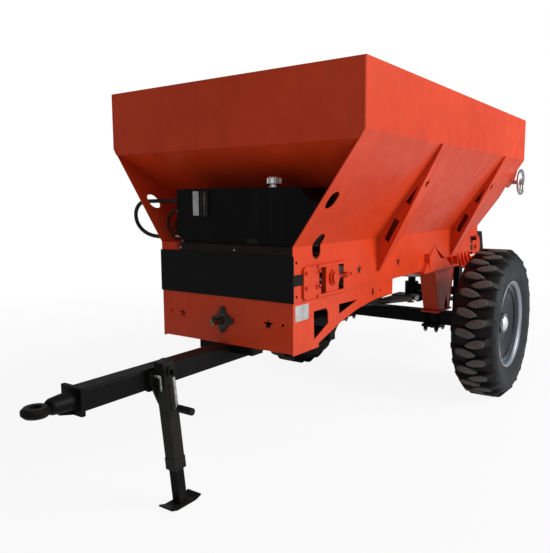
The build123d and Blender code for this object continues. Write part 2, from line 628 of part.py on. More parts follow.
def rear_bracket():
    """Stiffened foot of the box behind the wheel: a ledge and upright fins."""
    z, proud = REAR_BRACKET_Z, 40
    ledge = block(REAR_BRACKET_X, (HALF_BOX - 60, HALF_BOX + proud), (z[0], z[0] + 8))
    ledge += block((REAR_BRACKET_X[0], REAR_BRACKET_X[1]), (HALF_BOX - 6, HALF_BOX), (z[0], BOX_BOTTOM))
    for i in range(4):
        x = REAR_BRACKET_X[0] - 6 + i * (REAR_BRACKET_X[1] - REAR_BRACKET_X[0] + 12) / 3
        ledge += along_x([(HALF_BOX, z[0]), (HALF_BOX + proud, z[0]), (HALF_BOX + proud, z[0] + 16),
                          (HALF_BOX + 6, z[1]), (HALF_BOX, z[1])], (x - 5, x + 5))
    return ledge


def axle():
    """Square axle tube with a turned spindle at each end."""
    half = AXLE_TUBE / 2
    beam = block((AXLE_X - half, AXLE_X + half), (-AXLE_LENGTH / 2, AXLE_LENGTH / 2),
                 (AXLE_Z - half, AXLE_Z + half))
    beam = fillet(beam.edges().filter_by(Axis.Y), 8)
    reach = TRACK / 2 + 58
    profile = [(0, AXLE_LENGTH / 2 - 60), (42, AXLE_LENGTH / 2 - 60), (42, TRACK / 2 - 86),
               (SPINDLE_RADIUS, TRACK / 2 - 78), (SPINDLE_RADIUS, reach), (0, reach)]
    return beam + both_sides(turned(profile, (AXLE_X, 0, WHEEL_Z), (0, 1, 0)))


def axle_clamp():
    """Plate under the axle with four bolts up to the pillar's foot plate."""
    half = AXLE_TUBE / 2
    y = (PILLAR_Y[0] - 8, PILLAR_Y[1] + 8)
    x = (AXLE_X + half + 44, AXLE_X - half - 44)
    low = AXLE_Z - half
    clamp = block(x, y, (low, low - 22))
    for bx in (AXLE_X + half + 22, AXLE_X - half - 22):
        for by in (y[0] + 26, y[1] - 26):
            clamp += rod((bx, by, low - 60), (bx, by, AXLE_TOP), 10)
            clamp += rod((bx, by, low - 42), (bx, by, low - 20), 17)
    return clamp


# radius and height of the carcass on one side of its middle, from the bore to the tread
CARCASS = ((RIM_RADIUS - 21.7, RIM_WIDTH / 2 - 30), (TYRE_RADIUS - 150, TYRE_WIDTH / 2),
           (TYRE_RADIUS - 60, TYRE_WIDTH / 2 - 12), (TYRE_RADIUS - LUG_HEIGHT, TYRE_WIDTH / 2 - 56))
# a lug's corners: along and across the tread at its top, then the same where it enters the carcass
LUG = ((0, -42, 0, -64), (31, 8, 45, 0), (27, TYRE_WIDTH / 2 - 62, 40, TYRE_WIDTH / 2 - 13),
       (-17, TYRE_WIDTH / 2 - 62, -30, TYRE_WIDTH / 2 - 13), (-33, 22, -47, 16))


def polyhedron(faces):
    """A solid from flat faces, each a list of (x, y, z) points."""
    return Solid(Shell([Face(Wire.make_polygon([Vector(*p) for p in face])) for face in faces]))


def carcass():
    """The tyre without its lugs, with one flat for each lug of a row."""
    profile = [(r, -h) for r, h in CARCASS] + [*CARCASS[::-1]]
    step = radians(360 / LUGS_PER_ROW)
    rings = [[(r / cos(step / 2) * cos((i + 0.5) * step), r / cos(step / 2) * sin((i + 0.5) * step), h)
              for i in range(LUGS_PER_ROW)] for r, h in profile]
    return polyhedron([[a[i - 1], a[i], b[i], b[i - 1]]
                       for a, b in zip(rings, rings[1:] + rings[:1]) for i in range(LUGS_PER_ROW)])


def lug():
    """One slanted lug, pointing along X, that tapers outwards in flat facets."""
    top = [(TYRE_RADIUS, u - LUG_SLANT * v, v) for u, v, _, _ in LUG]
    foot = [(TYRE_RADIUS - 60, u - LUG_SLANT * v, v) for _, _, u, v in LUG]
    sides = []
    for i in range(len(LUG)):
        sides += [[foot[i - 1], foot[i], top[i]], [foot[i - 1], top[i], top[i - 1]]]
    return polyhedron([top, foot, *sides])


def tyre():
    """Carcass of flat facets with two staggered rows of lugs."""
    step = 360 / LUGS_PER_ROW
    rows = (mirror(lug(), about=Plane.XY), Rot(0, 0, step / 2) * lug())
    body = carcass() + [Rot(0, 0, i * step) * one for i in range(LUGS_PER_ROW) for one in rows]
    return Plane(origin=(AXLE_X, 0, WHEEL_Z), x_dir=(1, 0, 0), z_dir=(0, 1, 0)).location * body


def rim():
    """Rolled rim with its well, and the dished disc welded into it."""
    half = RIM_WIDTH / 2
    outer = [(RIM_RADIUS, half), (RIM_RADIUS - 6, half - 12), (RIM_RADIUS - 22, half - 24),
             (RIM_RADIUS - 26, 52), (RIM_RADIUS - 62, 40), (RIM_RADIUS - 62, -40),
             (RIM_RADIUS - 26, -52), (RIM_RADIUS - 22, 24 - half), (RIM_RADIUS - 6, 12 - half),
             (RIM_RADIUS, -half)]
    ring = turned(folded(outer, -7), (0, 0, 0), (0, 0, 1))
    disc = [(RIM_RADIUS - 30, 96), (RIM_RADIUS - 54, 93), (RIM_RADIUS - 65, 106), (250, 104),
            (243, 92), (150, 68), (112, 64), (HUB_RADIUS, 64)]
    dish = turned(folded(disc, 8), (0, 0, 0), (0, 0, 1))
    return Plane(origin=(AXLE_X, 0, WHEEL_Z), z_dir=(0, 1, 0)).location * (ring + dish)


def hub():
    """Hub barrel on the spindle, with its flange, wheel bolts and domed cap."""
    bore = SPINDLE_RADIUS + BEARING_GAP
    outline = [(bore, -70), (HUB_RADIUS, -70), (HUB_RADIUS, 64), (76, 64), (76, 80), (58, 82),
               (56, 92), (44, 102), (24, 108), (0, 109), (0, 66), (bore, 66)]
    body = turned(outline, (0, 0, 0), (0, 0, 1))
    bolts = [Rot(0, 0, 60 * i) * Pos(67, 0, 82) * Cylinder(6, 12) for i in range(6)]
    return Plane(origin=(AXLE_X, 0, WHEEL_Z), z_dir=(0, 1, 0)).location * (body + bolts)


# ---- drawbar and towing eye --------------------------------------------------------------
# rear and front x, half width, and lower and upper z of each member on the beam
CROSS_MEMBERS = ((-110.0, -14.0, 190.0, DRAWBAR_Z, PANEL_BOTTOM),
                 (-440.0, -380.0, HALF_BOX - SHEET, DRAWBAR_BOTTOM + DRAWBAR_TUBE, 768.0))
# upright plate over the beam's rear end: y and z of its left half, and its window
REAR_CRADLE = ((0.0, DRAWBAR_Z), (120.0, DRAWBAR_Z), (120.0, DRAWBAR_Z + 50),
               (HALF_BOX - SHEET, 868.0), (HALF_BOX - SHEET, BOX_BOTTOM), (0.0, BOX_BOTTOM))
CRADLE_WINDOW = ((-90.0, 90.0), (DRAWBAR_BOTTOM + DRAWBAR_TUBE - 1, 862.0))


def drawbar():
    """Square beam from the hitch back over the axle, with cross members and a front plate."""
    half = DRAWBAR_TUBE / 2
    beam = block((DRAWBAR_FRONT, DRAWBAR_REAR), (-half, half),
                 (DRAWBAR_BOTTOM, DRAWBAR_BOTTOM + DRAWBAR_TUBE))
    beam = fillet(beam.edges().filter_by(Axis.X), 8)
    for rear, front, reach, low, high in CROSS_MEMBERS:
        beam += block((rear, front), (-reach, reach), (low, high))
    cradle = along_x(REAR_CRADLE + tuple((-y, z) for y, z in REAR_CRADLE[4:0:-1]),
                     (DRAWBAR_REAR, DRAWBAR_REAR + 60))
    beam += cradle - block((DRAWBAR_REAR - 1, DRAWBAR_REAR + 61), *CRADLE_WINDOW)
    beam += block((DRAWBAR_FRONT, DRAWBAR_FRONT + 20), (-68, 68), (DRAWBAR_Z - 62, DRAWBAR_Z + 62))
    for y in (-5, 5):
        beam += across_y([(DRAWBAR_FRONT + 20, DRAWBAR_Z - 62), (DRAWBAR_FRONT + 86, DRAWBAR_Z - 46),
                          (DRAWBAR_FRONT + 20, DRAWBAR_Z - 45)], (y - 5, y + 5))
    return beam


def towing_eye():
    """Forged eye on a tapered shank that screws into the front plate."""
    face = DRAWBAR_FRONT + 20
    shank = turned([(0, 0), (44, 0), (40, 60), (36, 100), (30, 112), (0, 112)],
                   (face, 0, DRAWBAR_Z), (1, 0, 0))
    ring = turned([(EYE_HOLE, -EYE_THICKNESS / 2), (EYE_RADIUS - 12, -EYE_THICKNESS / 2),
                   (EYE_RADIUS, -8), (EYE_RADIUS, 8), (EYE_RADIUS - 12, EYE_THICKNESS / 2),
                   (EYE_HOLE, EYE_THICKNESS / 2)], (EYE_X, 0, DRAWBAR_Z), (0, 0, 1))
    bore = rod((EYE_X, 0, DRAWBAR_Z - 40), (EYE_X, 0, DRAWBAR_Z + 40), EYE_HOLE)
    return (shank + ring) - bore


# ---- parking jack ------------------------------------------------------------------------
JACK_PLATE_GAP = 5.0
# x and z, from the pivot, of the swivel plate that runs down the tube to a point
SWIVEL_PLATE = ((-34.0, 50.0), (56.0, 50.0), (66.0, 8.0), (34.0, -96.0), (14.0, -150.0),
                (-34.0, -150.0))


def jack_stand(piece):
    """Leans a piece that was modelled upright over the foot, with Z up the jack."""
    return Pos(JACK_FOOT_X, JACK_Y, 0) * Rot(0, JACK_LEAN, 0) * piece


def jack_mount():
    """Swivel plate welded to the beam, with the pivot stub that the jack turns on."""
    y = DRAWBAR_TUBE / 2
    plate = block((JACK_PIVOT_X - 52, JACK_PIVOT_X + 76), (y, y + 10), (DRAWBAR_Z - 56, DRAWBAR_Z + 56))
    plate = fillet(plate.edges().filter_by(Axis.Y), 20)
    return plate + rod((JACK_PIVOT_X, y + 9, DRAWBAR_Z),
                       (JACK_PIVOT_X, JACK_Y - JACK_TUBE / 2 - 1, DRAWBAR_Z), JACK_PIN_RADIUS)


def jack_tube():
    """Outer tube with its collar, top cap, crank gland and swivel plate."""
    half, room, collar = JACK_TUBE / 2, JACK_TUBE / 2 - JACK_WALL, JACK_COLLAR / 2
    low = JACK_TUBE_BOTTOM
    tube = block((-half, half), (-half, half), (low, JACK_TUBE_TOP))
    tube += block((-collar, collar), (-collar, collar), (low - 6, low - 6 + JACK_COLLAR_HEIGHT))
    tube += rod((0, 0, CRANK_HEIGHT), (0, half + 10, CRANK_HEIGHT), 20)
    inner = DRAWBAR_TUBE / 2 + 10 + JACK_PLATE_GAP - JACK_Y
    tube += across_y([(x, JACK_PIVOT + z) for x, z in SWIVEL_PLATE], (inner, -half))
    tube -= block((-room, room), (-room, room), (low - 7, CRANK_HEIGHT - 40))
    tube -= rod((0, inner - 1, JACK_PIVOT), (0, -half, JACK_PIVOT), JACK_PIN_RADIUS + BEARING_GAP)
    return jack_stand(tube)


def jack_leg():
    """Inner leg cut level at its end, on a foot that is turned up a little at both ends."""
    half, wide = JACK_LEG / 2, JACK_FOOT_WIDTH / 2
    leg = jack_stand(block((-half, half), (-half, half), (-10, 330)))
    leg -= block((JACK_FOOT_X - 90, JACK_FOOT_X + 90), (JACK_Y - 90, JACK_Y + 90), (4, -40))
    front, rear, lift = JACK_FOOT_X + JACK_FOOT_LENGTH / 2, JACK_FOOT_X - JACK_FOOT_LENGTH / 2, 12
    sole = folded([(rear, lift), (rear + 40, 0), (front - 40, 0), (front, lift)], 8)
    return leg + across_y(sole, (JACK_Y - wide, JACK_Y + wide))


def jack_crank():
    """Crank arm hanging beside the tube, with its grip."""
    y, low = JACK_TUBE / 2 + 10, CRANK_HEIGHT - CRANK_ARM
    arm = rod((0, y, CRANK_HEIGHT), (0, y + 25, CRANK_HEIGHT), 9)
    arm += rod((0, y + 15, CRANK_HEIGHT), (0, y + 15, low), 7)
    arm += rod((0, y + 5, low), (0, y + 34, low), 9)
    return jack_stand(arm + rod((0, y + 24, low), (0, y + 112, low), 17))


# ---- drive line --------------------------------------------------------------------------
CARDAN_DROP = atan2(INPUT_Z - GEARBOX_Z, FRONT_JOINT_X - REAR_JOINT_X)


def spider(centre, axis_x):
    """The cross of a universal joint, fast in this shaft's ears and short of the other's."""
    cross = Box(22, 22, 22) + Box(14, 42, 14) + Box(14, 14, 56)
    return Plane(origin=centre, x_dir=axis_x, z_dir=(0, 0, 1)).location * cross


def yoke(centre, away, flat):
    """Two ears that reach to the joint's centre from its shaft; flat ears lie level."""
    ears = [block((-18, 46), (26, 38), (-17, 17)), block((-18, 46), (-38, -26), (-17, 17))]
    body = block((42, 62), (-38, 38), (-17, 17)) + ears[0] + ears[1]
    body += rod((58, 0, 0), (84, 0, 0), 27)
    spin = Rot(0, 0, 0) if flat else Rot(90, 0, 0)
    frame = Plane(origin=centre, x_dir=away, z_dir=Vector(*away).cross(Vector(0, 1, 0)))
    return frame.location * (spin * body)


def input_shaft():
    """Splined stub through the front panel, its shaft, and the first half of a joint."""
    x = FRONT_JOINT_X + 84
    stub = rod((INPUT_REACH, 0, INPUT_Z), (-30, 0, INPUT_Z), SPLINE_RADIUS)
    for i in range(6):
        turn = radians(60 * i + 30)
        y, z = SPLINE_RADIUS * cos(turn), SPLINE_RADIUS * sin(turn)
        groove = Pos(INPUT_REACH - 38, y, INPUT_Z + z) * Rot(60 * i + 30, 0, 0) * Box(78, 5, 8.6)
        stub -= groove
    stub += rod((2, 0, INPUT_Z), (x, 0, INPUT_Z), 22)
    return stub + yoke((FRONT_JOINT_X, 0, INPUT_Z), (1, 0, 0), True)


def cardan_shaft():
    """Long tube between the two joints, with a yoke and a cross at each end."""
    way = (cos(CARDAN_DROP), 0, sin(CARDAN_DROP))
    front, rear = Vector(FRONT_JOINT_X, 0, INPUT_Z), Vector(REAR_JOINT_X, 0, GEARBOX_Z)
    direction = Vector(*way)
    tube = rod(tuple(front - direction * 80), tuple(rear + direction * 80), 27)
    tube += yoke(tuple(front), (-way[0], 0, -way[2]), False)
    tube += yoke(tuple(rear), way, False)
    tube += spider(tuple(front), way)
    return tube + spider(tuple(rear), way)


def gearbox_yoke():
    """Gearbox input shaft with the last half joint."""
    shaft = rod((REAR_JOINT_X - 84, 0, GEARBOX_Z), (GEARBOX_NECK_X - 60, 0, GEARBOX_Z), 20)
    return shaft + yoke((REAR_JOINT_X, 0, GEARBOX_Z), (-1, 0, 0), True)


def input_bearing():
    """Four-bolt flange bearing on the front panel."""
    x = (0, 16)
    flange = rod((x[0], 0, INPUT_Z), (x[1], 0, INPUT_Z), 44)
    for i in range(4):
        y, z = INPUT_BOLT_CIRCLE * cos(i * pi / 2), INPUT_BOLT_CIRCLE * sin(i * pi / 2)
        flange += rod((x[0], y, INPUT_Z + z), (x[1] - 4, y, INPUT_Z + z), 17)
        flange += rod((x[0], y * 0.5, INPUT_Z + z * 0.5), (x[1] - 4, y * 0.5, INPUT_Z + z * 0.5), 30)
        flange -= rod((x[0] - 1, y, INPUT_Z + z), (x[1], y, INPUT_Z + z), 7)
    flange += rod((-18, 0, INPUT_Z), (x[0], 0, INPUT_Z), 34)
    return flange - rod((-20, 0, INPUT_Z), (x[1] + 1, 0, INPUT_Z), 22 + BEARING_GAP)


# ---- spinners ----------------------------------------------------------------------------
GEARBOX_FOOT = GEARBOX_Z - 76
FRAME_BEAM = (412.0, 462.0)
HANGER_X = (REAR_BRACKET_X[0] - 80, REAR_BRACKET_X[0] - 160)


def spinner_gearbox():
    """Three housings on one cross tube, under the two discs."""
    half = SPINNER_SPACING / 2
    case = rod((SPINNER_X, -half, GEARBOX_Z), (SPINNER_X, half, GEARBOX_Z), 42)
    for y in (-half, half):
        case += rod((SPINNER_X, y, GEARBOX_FOOT), (SPINNER_X, y, GEARBOX_Z + 62), 68)
        case += rod((SPINNER_X, y, GEARBOX_Z + 60), (SPINNER_X, y, GEARBOX_Z + 104), 38)
    case += block((SPINNER_X - 70, SPINNER_X + 78), (-66, 66), (GEARBOX_FOOT, GEARBOX_Z + 56))
    case += rod((SPINNER_X + 70, 0, GEARBOX_Z), (GEARBOX_NECK_X, 0, GEARBOX_Z), 40)
    case += rod((GEARBOX_NECK_X - 50, 0, GEARBOX_Z), (GEARBOX_NECK_X, 0, GEARBOX_Z), 52)
    case -= rod((GEARBOX_NECK_X - 66, 0, GEARBOX_Z), (GEARBOX_NECK_X + 1, 0, GEARBOX_Z), 20 + BEARING_GAP)
    for y in (-half, half):
        case -= rod((SPINNER_X, y, GEARBOX_Z + 16), (SPINNER_X, y, GEARBOX_Z + 105), 20 + BEARING_GAP)
    return case


def spinner():
    """Disc on its shaft with upright vanes; modelled on the machine's middle line."""
    top = DISC_Z + DISC_THICKNESS
    disc = turned([(0, 0), (DISC_RADIUS, 0), (DISC_RADIUS, DISC_THICKNESS), (60, DISC_THICKNESS),
                   (46, 26), (0, 30)], (0, 0, DISC_Z), (0, 0, 1))
    disc += rod((0, 0, GEARBOX_Z + 22), (0, 0, DISC_Z + 1), 20)
    disc += rod((0, 0, DISC_Z - 14), (0, 0, DISC_Z + 1), 52)
    vane = along_x(folded([(26, top + VANE_HEIGHT), (0, top + VANE_HEIGHT), (0, top - 1)], 5), (62, 268))
    for i in range(VANES):
        disc += Rot(0, 0, 360 / VANES * i) * vane
    return disc


def spinner_frame():
    """Two side beams hung from the box, and the cross plates that carry the gearbox."""
    low, high = GEARBOX_FOOT - 62, GEARBOX_FOOT - 12
    beam = block((HANGER_X[0], SPINNER_X - 96), FRAME_BEAM, (low, high))
    beam += block(HANGER_X, FRAME_BEAM, (low, REAR_BRACKET_Z[0]))
    brace = [(HANGER_X[1], high - 2), (HANGER_X[1], 860), (HANGER_X[1] - 160, high - 2)]
    beam += across_y(brace, (FRAME_BEAM[0] + 20, FRAME_BEAM[0] + 28))
    frame = both_sides(beam)
    for x in ((SPINNER_X - 96, SPINNER_X + 96), HANGER_X):
        frame += block(x, (-FRAME_BEAM[1], FRAME_BEAM[1]), (GEARBOX_FOOT - 12, GEARBOX_FOOT))
    return frame


def spinner_hood():
    """Black hood behind the box: two cheeks, the flap and the chute between them."""
    cheek_y = (HALF_BOX - SHEET - HOOD_SHEET, HALF_BOX - SHEET)
    front = -BOX_LENGTH - 1
    rear_top, rear_foot = (front - 157, 1200), (front - 282, 832)
    cheek = across_y([(front, 1213), rear_top, rear_foot, (front, 832)], cheek_y)
    chute = across_y(folded([(front - 149, 848), (front, 945)], HOOD_SHEET), (-cheek_y[0], cheek_y[0]))
    flap = folded([rear_foot, rear_top], HOOD_SHEET)
    flap = across_y(flap, (-cheek_y[0], cheek_y[0]))
    flap &= block((front - 299, front - 99), (-HALF_BOX, HALF_BOX), (1040, 1190))
    return both_sides(cheek) + flap + chute


# ---- rear gate ---------------------------------------------------------------------------
def rear_gate():
    """Sliding gate with two stiffeners and the racks that lift it."""
    half = GATE_OPENING_WIDTH / 2 + 18
    x = (GATE_X, GATE_X - GATE_THICKNESS)
    gate = block(x, (-half, half), (REAR_WALL_FOOT + 2, GATE_TOP))
    for z in (REAR_WALL_FOOT + 20, GATE_TOP - 60):
        gate += block((x[1], x[1] - 18), (-half + 40, half - 40), (z, z + 30))
    pitch_x = GATE_SHAFT_X + PINION_RADIUS
    for y in (-RACK_Y, RACK_Y):
        gate += block((x[1], pitch_x + 0.8), (y - RACK_WIDTH / 2, y + RACK_WIDTH / 2), (1270, 1730))
    return gate


def gate_guides():
    """Channels beside the gate that keep it against the wall."""
    edge = GATE_OPENING_WIDTH / 2 + 18 + GATE_GAP
    rear = GATE_X - GATE_THICKNESS - GATE_GAP
    outline = folded([(REAR_WALL_X - SHEET, edge), (rear - SHEET, edge), (rear - SHEET, edge - 24)], -SHEET)
    return both_sides(upright(outline, (REAR_WALL_FOOT, 1600)))


def gate_shaft():
    """Shaft through both ears with the two pinions."""
    ends = (-slope_y(GATE_SHAFT_Z) - 20, HANDWHEEL_Y - 12)
    line = Plane(origin=(GATE_SHAFT_X, 0, GATE_SHAFT_Z), z_dir=(0, 1, 0)).location
    shaft = Pos(0, 0, sum(ends) / 2) * Cylinder(GATE_SHAFT_RADIUS, ends[1] - ends[0])
    for y in (-RACK_Y, RACK_Y):
        shaft += Pos(0, 0, y) * Cylinder(PINION_RADIUS - 0.8, RACK_WIDTH)
    return line * shaft


def handwheel():
    """Hand wheel with a round rim and three spokes."""
    rim_r = 11
    wheel = Torus(HANDWHEEL_RADIUS - rim_r, rim_r)
    wheel += Pos(0, 0, -6) * Cylinder(26, 34)
    spoke = Pos(HANDWHEEL_RADIUS / 2 - 2, 0, 0) * Rot(0, 90, 0) * Cylinder(7, HANDWHEEL_RADIUS - 22)
    for i in range(3):
        wheel += Rot(0, 0, 120 * i + 90) * spoke
    wheel -= Pos(0, 0, -14) * Cylinder(GATE_SHAFT_RADIUS, 22)
    place = Plane(origin=(GATE_SHAFT_X, HANDWHEEL_Y, GATE_SHAFT_Z), x_dir=(1, 0, 0), z_dir=(0, 1, 0))
    return place.location * wheel


# ---- hoses -------------------------------------------------------------------------------
# radius of each hose, and the points of its route from the tank to the block
HOSES = {
    "hose_return": (12.0, [
        (-95, -365, 1492), (-95, -425, 1492), (-98, -520, 1497), (-100, -640, 1495),
        (-101, -748, 1493), (-106, -810, 1432), (-122, -810, 1345), (-150, -748, 1283),
        (-185, -655, 1268), (-208, -562, 1268), (-226, -480, 1276), (-226, -407, 1276)]),
    "hose_supply": (8.0, [
        (-80, -365, 1436), (-80, -405, 1436), (-84, -457, 1438), (-89, -503, 1392),
        (-97, -503, 1328), (-104, -457, 1282), (-104, -407, 1282)]),
    "hose_drain": (6.0, [
        (-118, -365, 1399), (-118, -402, 1399), (-122, -441, 1402), (-126, -475, 1368),
        (-131, -475, 1318), (-136, -441, 1284), (-136, -407, 1284)]),
}


def hose(points, radius):
    """Tube along straight runs joined by arcs as wide as the runs allow."""
    spots = [Vector(*p) for p in points]
    bends = []
    for a, b, c in zip(spots, spots[1:], spots[2:]):
        turn = radians((b - a).get_angle(c - b))
        run = min((b - a).length, (c - b).length)
        bends.append(0.45 * run / tan(turn / 2))
    path = FilletPolyline(*points, radius=bends)
    start = Plane(origin=points[0], z_dir=spots[1] - spots[0])
    return sweep(start * Circle(radius), path=path), bends


# ---- put together and write --------------------------------------------------------------
def pieces():
    left = hopper_side()
    half = SPINNER_SPACING / 2
    wheel_parts = {"tyre": tyre(), "rim": rim(), "hub": hub()}
    made = {
        "hopper_side_left": left,
        "hopper_side_right": mirror(left, about=Plane.XZ),
        "hopper_front_wall": front_wall(),
        "hopper_rear_wall": rear_wall(),
        "hopper_ribs": hopper_ribs(),
        "front_rail": front_rail(),
        "front_cover": front_cover(),
        "front_panel": front_panel(),
        "bracket_plates": both_sides(bracket_plate()),
        "oil_tank": oil_tank(),
        "breather_cap": breather_cap(),
        "hose_block": hose_block(),
        "conveyor_chain": conveyor_chain(),
        "conveyor_front_shaft": conveyor_shaft(FRONT_SHAFT_X, HALF_BOX + 14),
        "conveyor_rear_shaft": conveyor_shaft(REAR_SHAFT_X, HALF_BOX - 20),
        "conveyor_floor": floor_plate(),
        "chain_tensioners": both_sides(tensioner()),
        "rear_bearings": both_sides(rear_bearing()),
        "conveyor_drive": conveyor_drive(),
        "pillars": both_sides(pillar()),
        "rear_brackets": both_sides(rear_bracket()),
        "axle": axle(),
        "axle_clamps": both_sides(axle_clamp()),
        "drawbar": drawbar(),
        "towing_eye": towing_eye(),
        "jack_mount": jack_mount(),
        "jack_tube": jack_tube(),
        "jack_leg": jack_leg(),
        "jack_crank": jack_crank(),
        "input_bearing": input_bearing(),
        "input_shaft": input_shaft(),
        "cardan_shaft": cardan_shaft(),
        "gearbox_yoke": gearbox_yoke(),
        "spinner_gearbox": spinner_gearbox(),
        "spinner_frame": spinner_frame(),
        "spinner_hood": spinner_hood(),
        "spinner_left": Pos(SPINNER_X, half, 0) * spinner(),
        "spinner_right": Pos(SPINNER_X, -half, 0) * mirror(spinner(), about=Plane.XZ),
        "rear_gate": rear_gate(),
        "gate_guides": gate_guides(),
        "gate_shaft": gate_shaft(),
        "handwheel": handwheel(),
    }
    for name, part in wheel_parts.items():
        made[name + "_left"] = Pos(0, TRACK / 2, 0) * part
        made[name + "_right"] = Pos(0, -TRACK / 2, 0) * mirror(part, about=Plane.XZ)
    for name, (radius, points) in HOSES.items():
        made[name], bends = hose(points, radius)
        print(name, "bend radii", [round(b) for b in bends])
    return made


for name, solid in pieces().items():
    export_step(Pos(-MIDDLE_X, 0, 0) * solid, f"parts/{name}.step")
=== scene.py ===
import bmesh
import bpy
from math import cos, pi, radians, sin, sqrt
from mathutils import Matrix, Vector


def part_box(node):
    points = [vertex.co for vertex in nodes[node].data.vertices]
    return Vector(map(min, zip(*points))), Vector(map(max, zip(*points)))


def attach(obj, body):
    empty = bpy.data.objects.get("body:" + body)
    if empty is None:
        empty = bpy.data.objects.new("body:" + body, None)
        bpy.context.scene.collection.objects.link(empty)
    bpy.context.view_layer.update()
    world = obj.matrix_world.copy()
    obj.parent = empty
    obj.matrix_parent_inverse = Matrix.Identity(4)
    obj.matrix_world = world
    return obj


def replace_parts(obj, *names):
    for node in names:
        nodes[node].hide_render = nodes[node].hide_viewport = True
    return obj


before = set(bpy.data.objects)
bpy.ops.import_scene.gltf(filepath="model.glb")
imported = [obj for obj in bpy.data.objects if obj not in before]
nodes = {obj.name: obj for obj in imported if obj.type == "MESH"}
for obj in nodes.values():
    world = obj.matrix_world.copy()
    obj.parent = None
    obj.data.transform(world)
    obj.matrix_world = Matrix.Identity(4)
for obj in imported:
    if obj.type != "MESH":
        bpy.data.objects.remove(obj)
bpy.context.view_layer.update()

# ---- where it stands, and how it is seen -------------------------------------------------
# The spreader is parked on its jack on a pale studio floor. The viewer stands off its left
# front corner, 1.5 m above the ground. FRONT is the hopper's front face.
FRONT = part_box("hopper_side_left")[1].x
VIEWER = (2534, 2161, 1494)
YAW, PITCH, ROLL = radians(35.478), radians(7.148), radians(0.336)
FOCAL_LENGTH = 39.43529
LEFT, RIGHT, AHEAD, BEHIND, UP, DOWN = (0, 1, 0), (0, -1, 0), (1, 0, 0), (-1, 0, 0), (0, 0, 1), (0, 0, -1)


def at(x, y, z):
    """A point given in millimetres from the hopper's front face, in the frame's metres."""
    return Vector((FRONT + x / 1000, y / 1000, z / 1000))


def link(thing):
    bpy.context.scene.collection.objects.link(thing)
    return thing


lens = bpy.data.cameras.new("viewer")
lens.lens = FOCAL_LENGTH
lens.clip_end = 200
camera = link(bpy.data.objects.new("viewer", lens))
towards = Matrix.Rotation(pi + YAW, 3, "Z") @ Matrix.Rotation(PITCH, 3, "Y")
tilt = Matrix.Rotation(ROLL, 3, "X")
axes = towards @ tilt @ Matrix(((0, 0, -1), (-1, 0, 0), (0, 1, 0)))
camera.matrix_world = Matrix.Translation(at(*VIEWER)) @ axes.to_4x4()
bpy.context.scene.camera = camera
bpy.context.scene.view_settings.view_transform = "Standard"


# ---- hydraulic hoses ---------------------------------------------------------------------
# Wire-braided rubber hoses, 24, 16 and 12 mm over the cover. They hang between the bosses
# of the tank's right end and the block below, held there by crimped steel ends.
HOSES = {
    "hose_return": (0.012, ((-95, -365, 1492), (-95, -425, 1492), (-98, -520, 1497), (-100, -640, 1495),
                            (-101, -748, 1493), (-106, -810, 1432), (-122, -810, 1345), (-150, -748, 1283),
                            (-185, -655, 1268), (-208, -562, 1268), (-226, -480, 1276), (-226, -407, 1276))),
    "hose_supply": (0.008, ((-80, -365, 1436), (-80, -405, 1436), (-84, -457, 1438), (-89, -503, 1392),
                            (-97, -503, 1328), (-104, -457, 1282), (-104, -407, 1282))),
    "hose_drain": (0.006, ((-118, -365, 1399), (-118, -402, 1399), (-122, -441, 1402), (-126, -475, 1368),
                           (-131, -475, 1318), (-136, -441, 1284), (-136, -407, 1284))),
}
DUST = (0.22, 0.19, 0.155)


class Value:
    """A node's output that can be used in sums."""

    def __init__(self, net, socket):
        self.net, self.socket = net, socket

    def sum(self, operation, a, b=None, clamp=False):
        sockets = {0: a} if b is None else {0: a, 1: b}
        return self.net.node("ShaderNodeMath", {"operation": operation, "use_clamp": clamp}, sockets)

    def __add__(self, other):
        return self.sum("ADD", self, other)

    def __sub__(self, other):
        return self.sum("SUBTRACT", self, other)

    def __rsub__(self, other):
        return self.sum("SUBTRACT", other, self)

    def __mul__(self, other):
        return self.sum("MULTIPLY", self, other)

    def __truediv__(self, other):
        return self.sum("DIVIDE", self, other)

    def __pow__(self, other):
        return self.sum("POWER", self, other)

    def __mod__(self, other):
        return self.sum("MODULO", self, other)

    def __gt__(self, other):
        return self.sum("GREATER_THAN", self, other)

    def between(self, low, high):
        """0 below low, 1 above high, and a straight ramp from one to the other."""
        return self.sum("MULTIPLY", self - low, 1 / (high - low), clamp=True)


class Net:
    """A tree of nodes, for a finish or for a mesh."""

    def __init__(self, tree):
        self.tree = tree

    def node(self, kind, settings=None, sockets=None, out=0):
        made = self.tree.nodes.new(kind)
        for key, value in (settings or {}).items():
            setattr(made, key, value)
        for key, value in (sockets or {}).items():
            if isinstance(value, Value):
                self.tree.links.new(value.socket, made.inputs[key])
            else:
                made.inputs[key].default_value = value
        return Value(self, made.outputs[out])


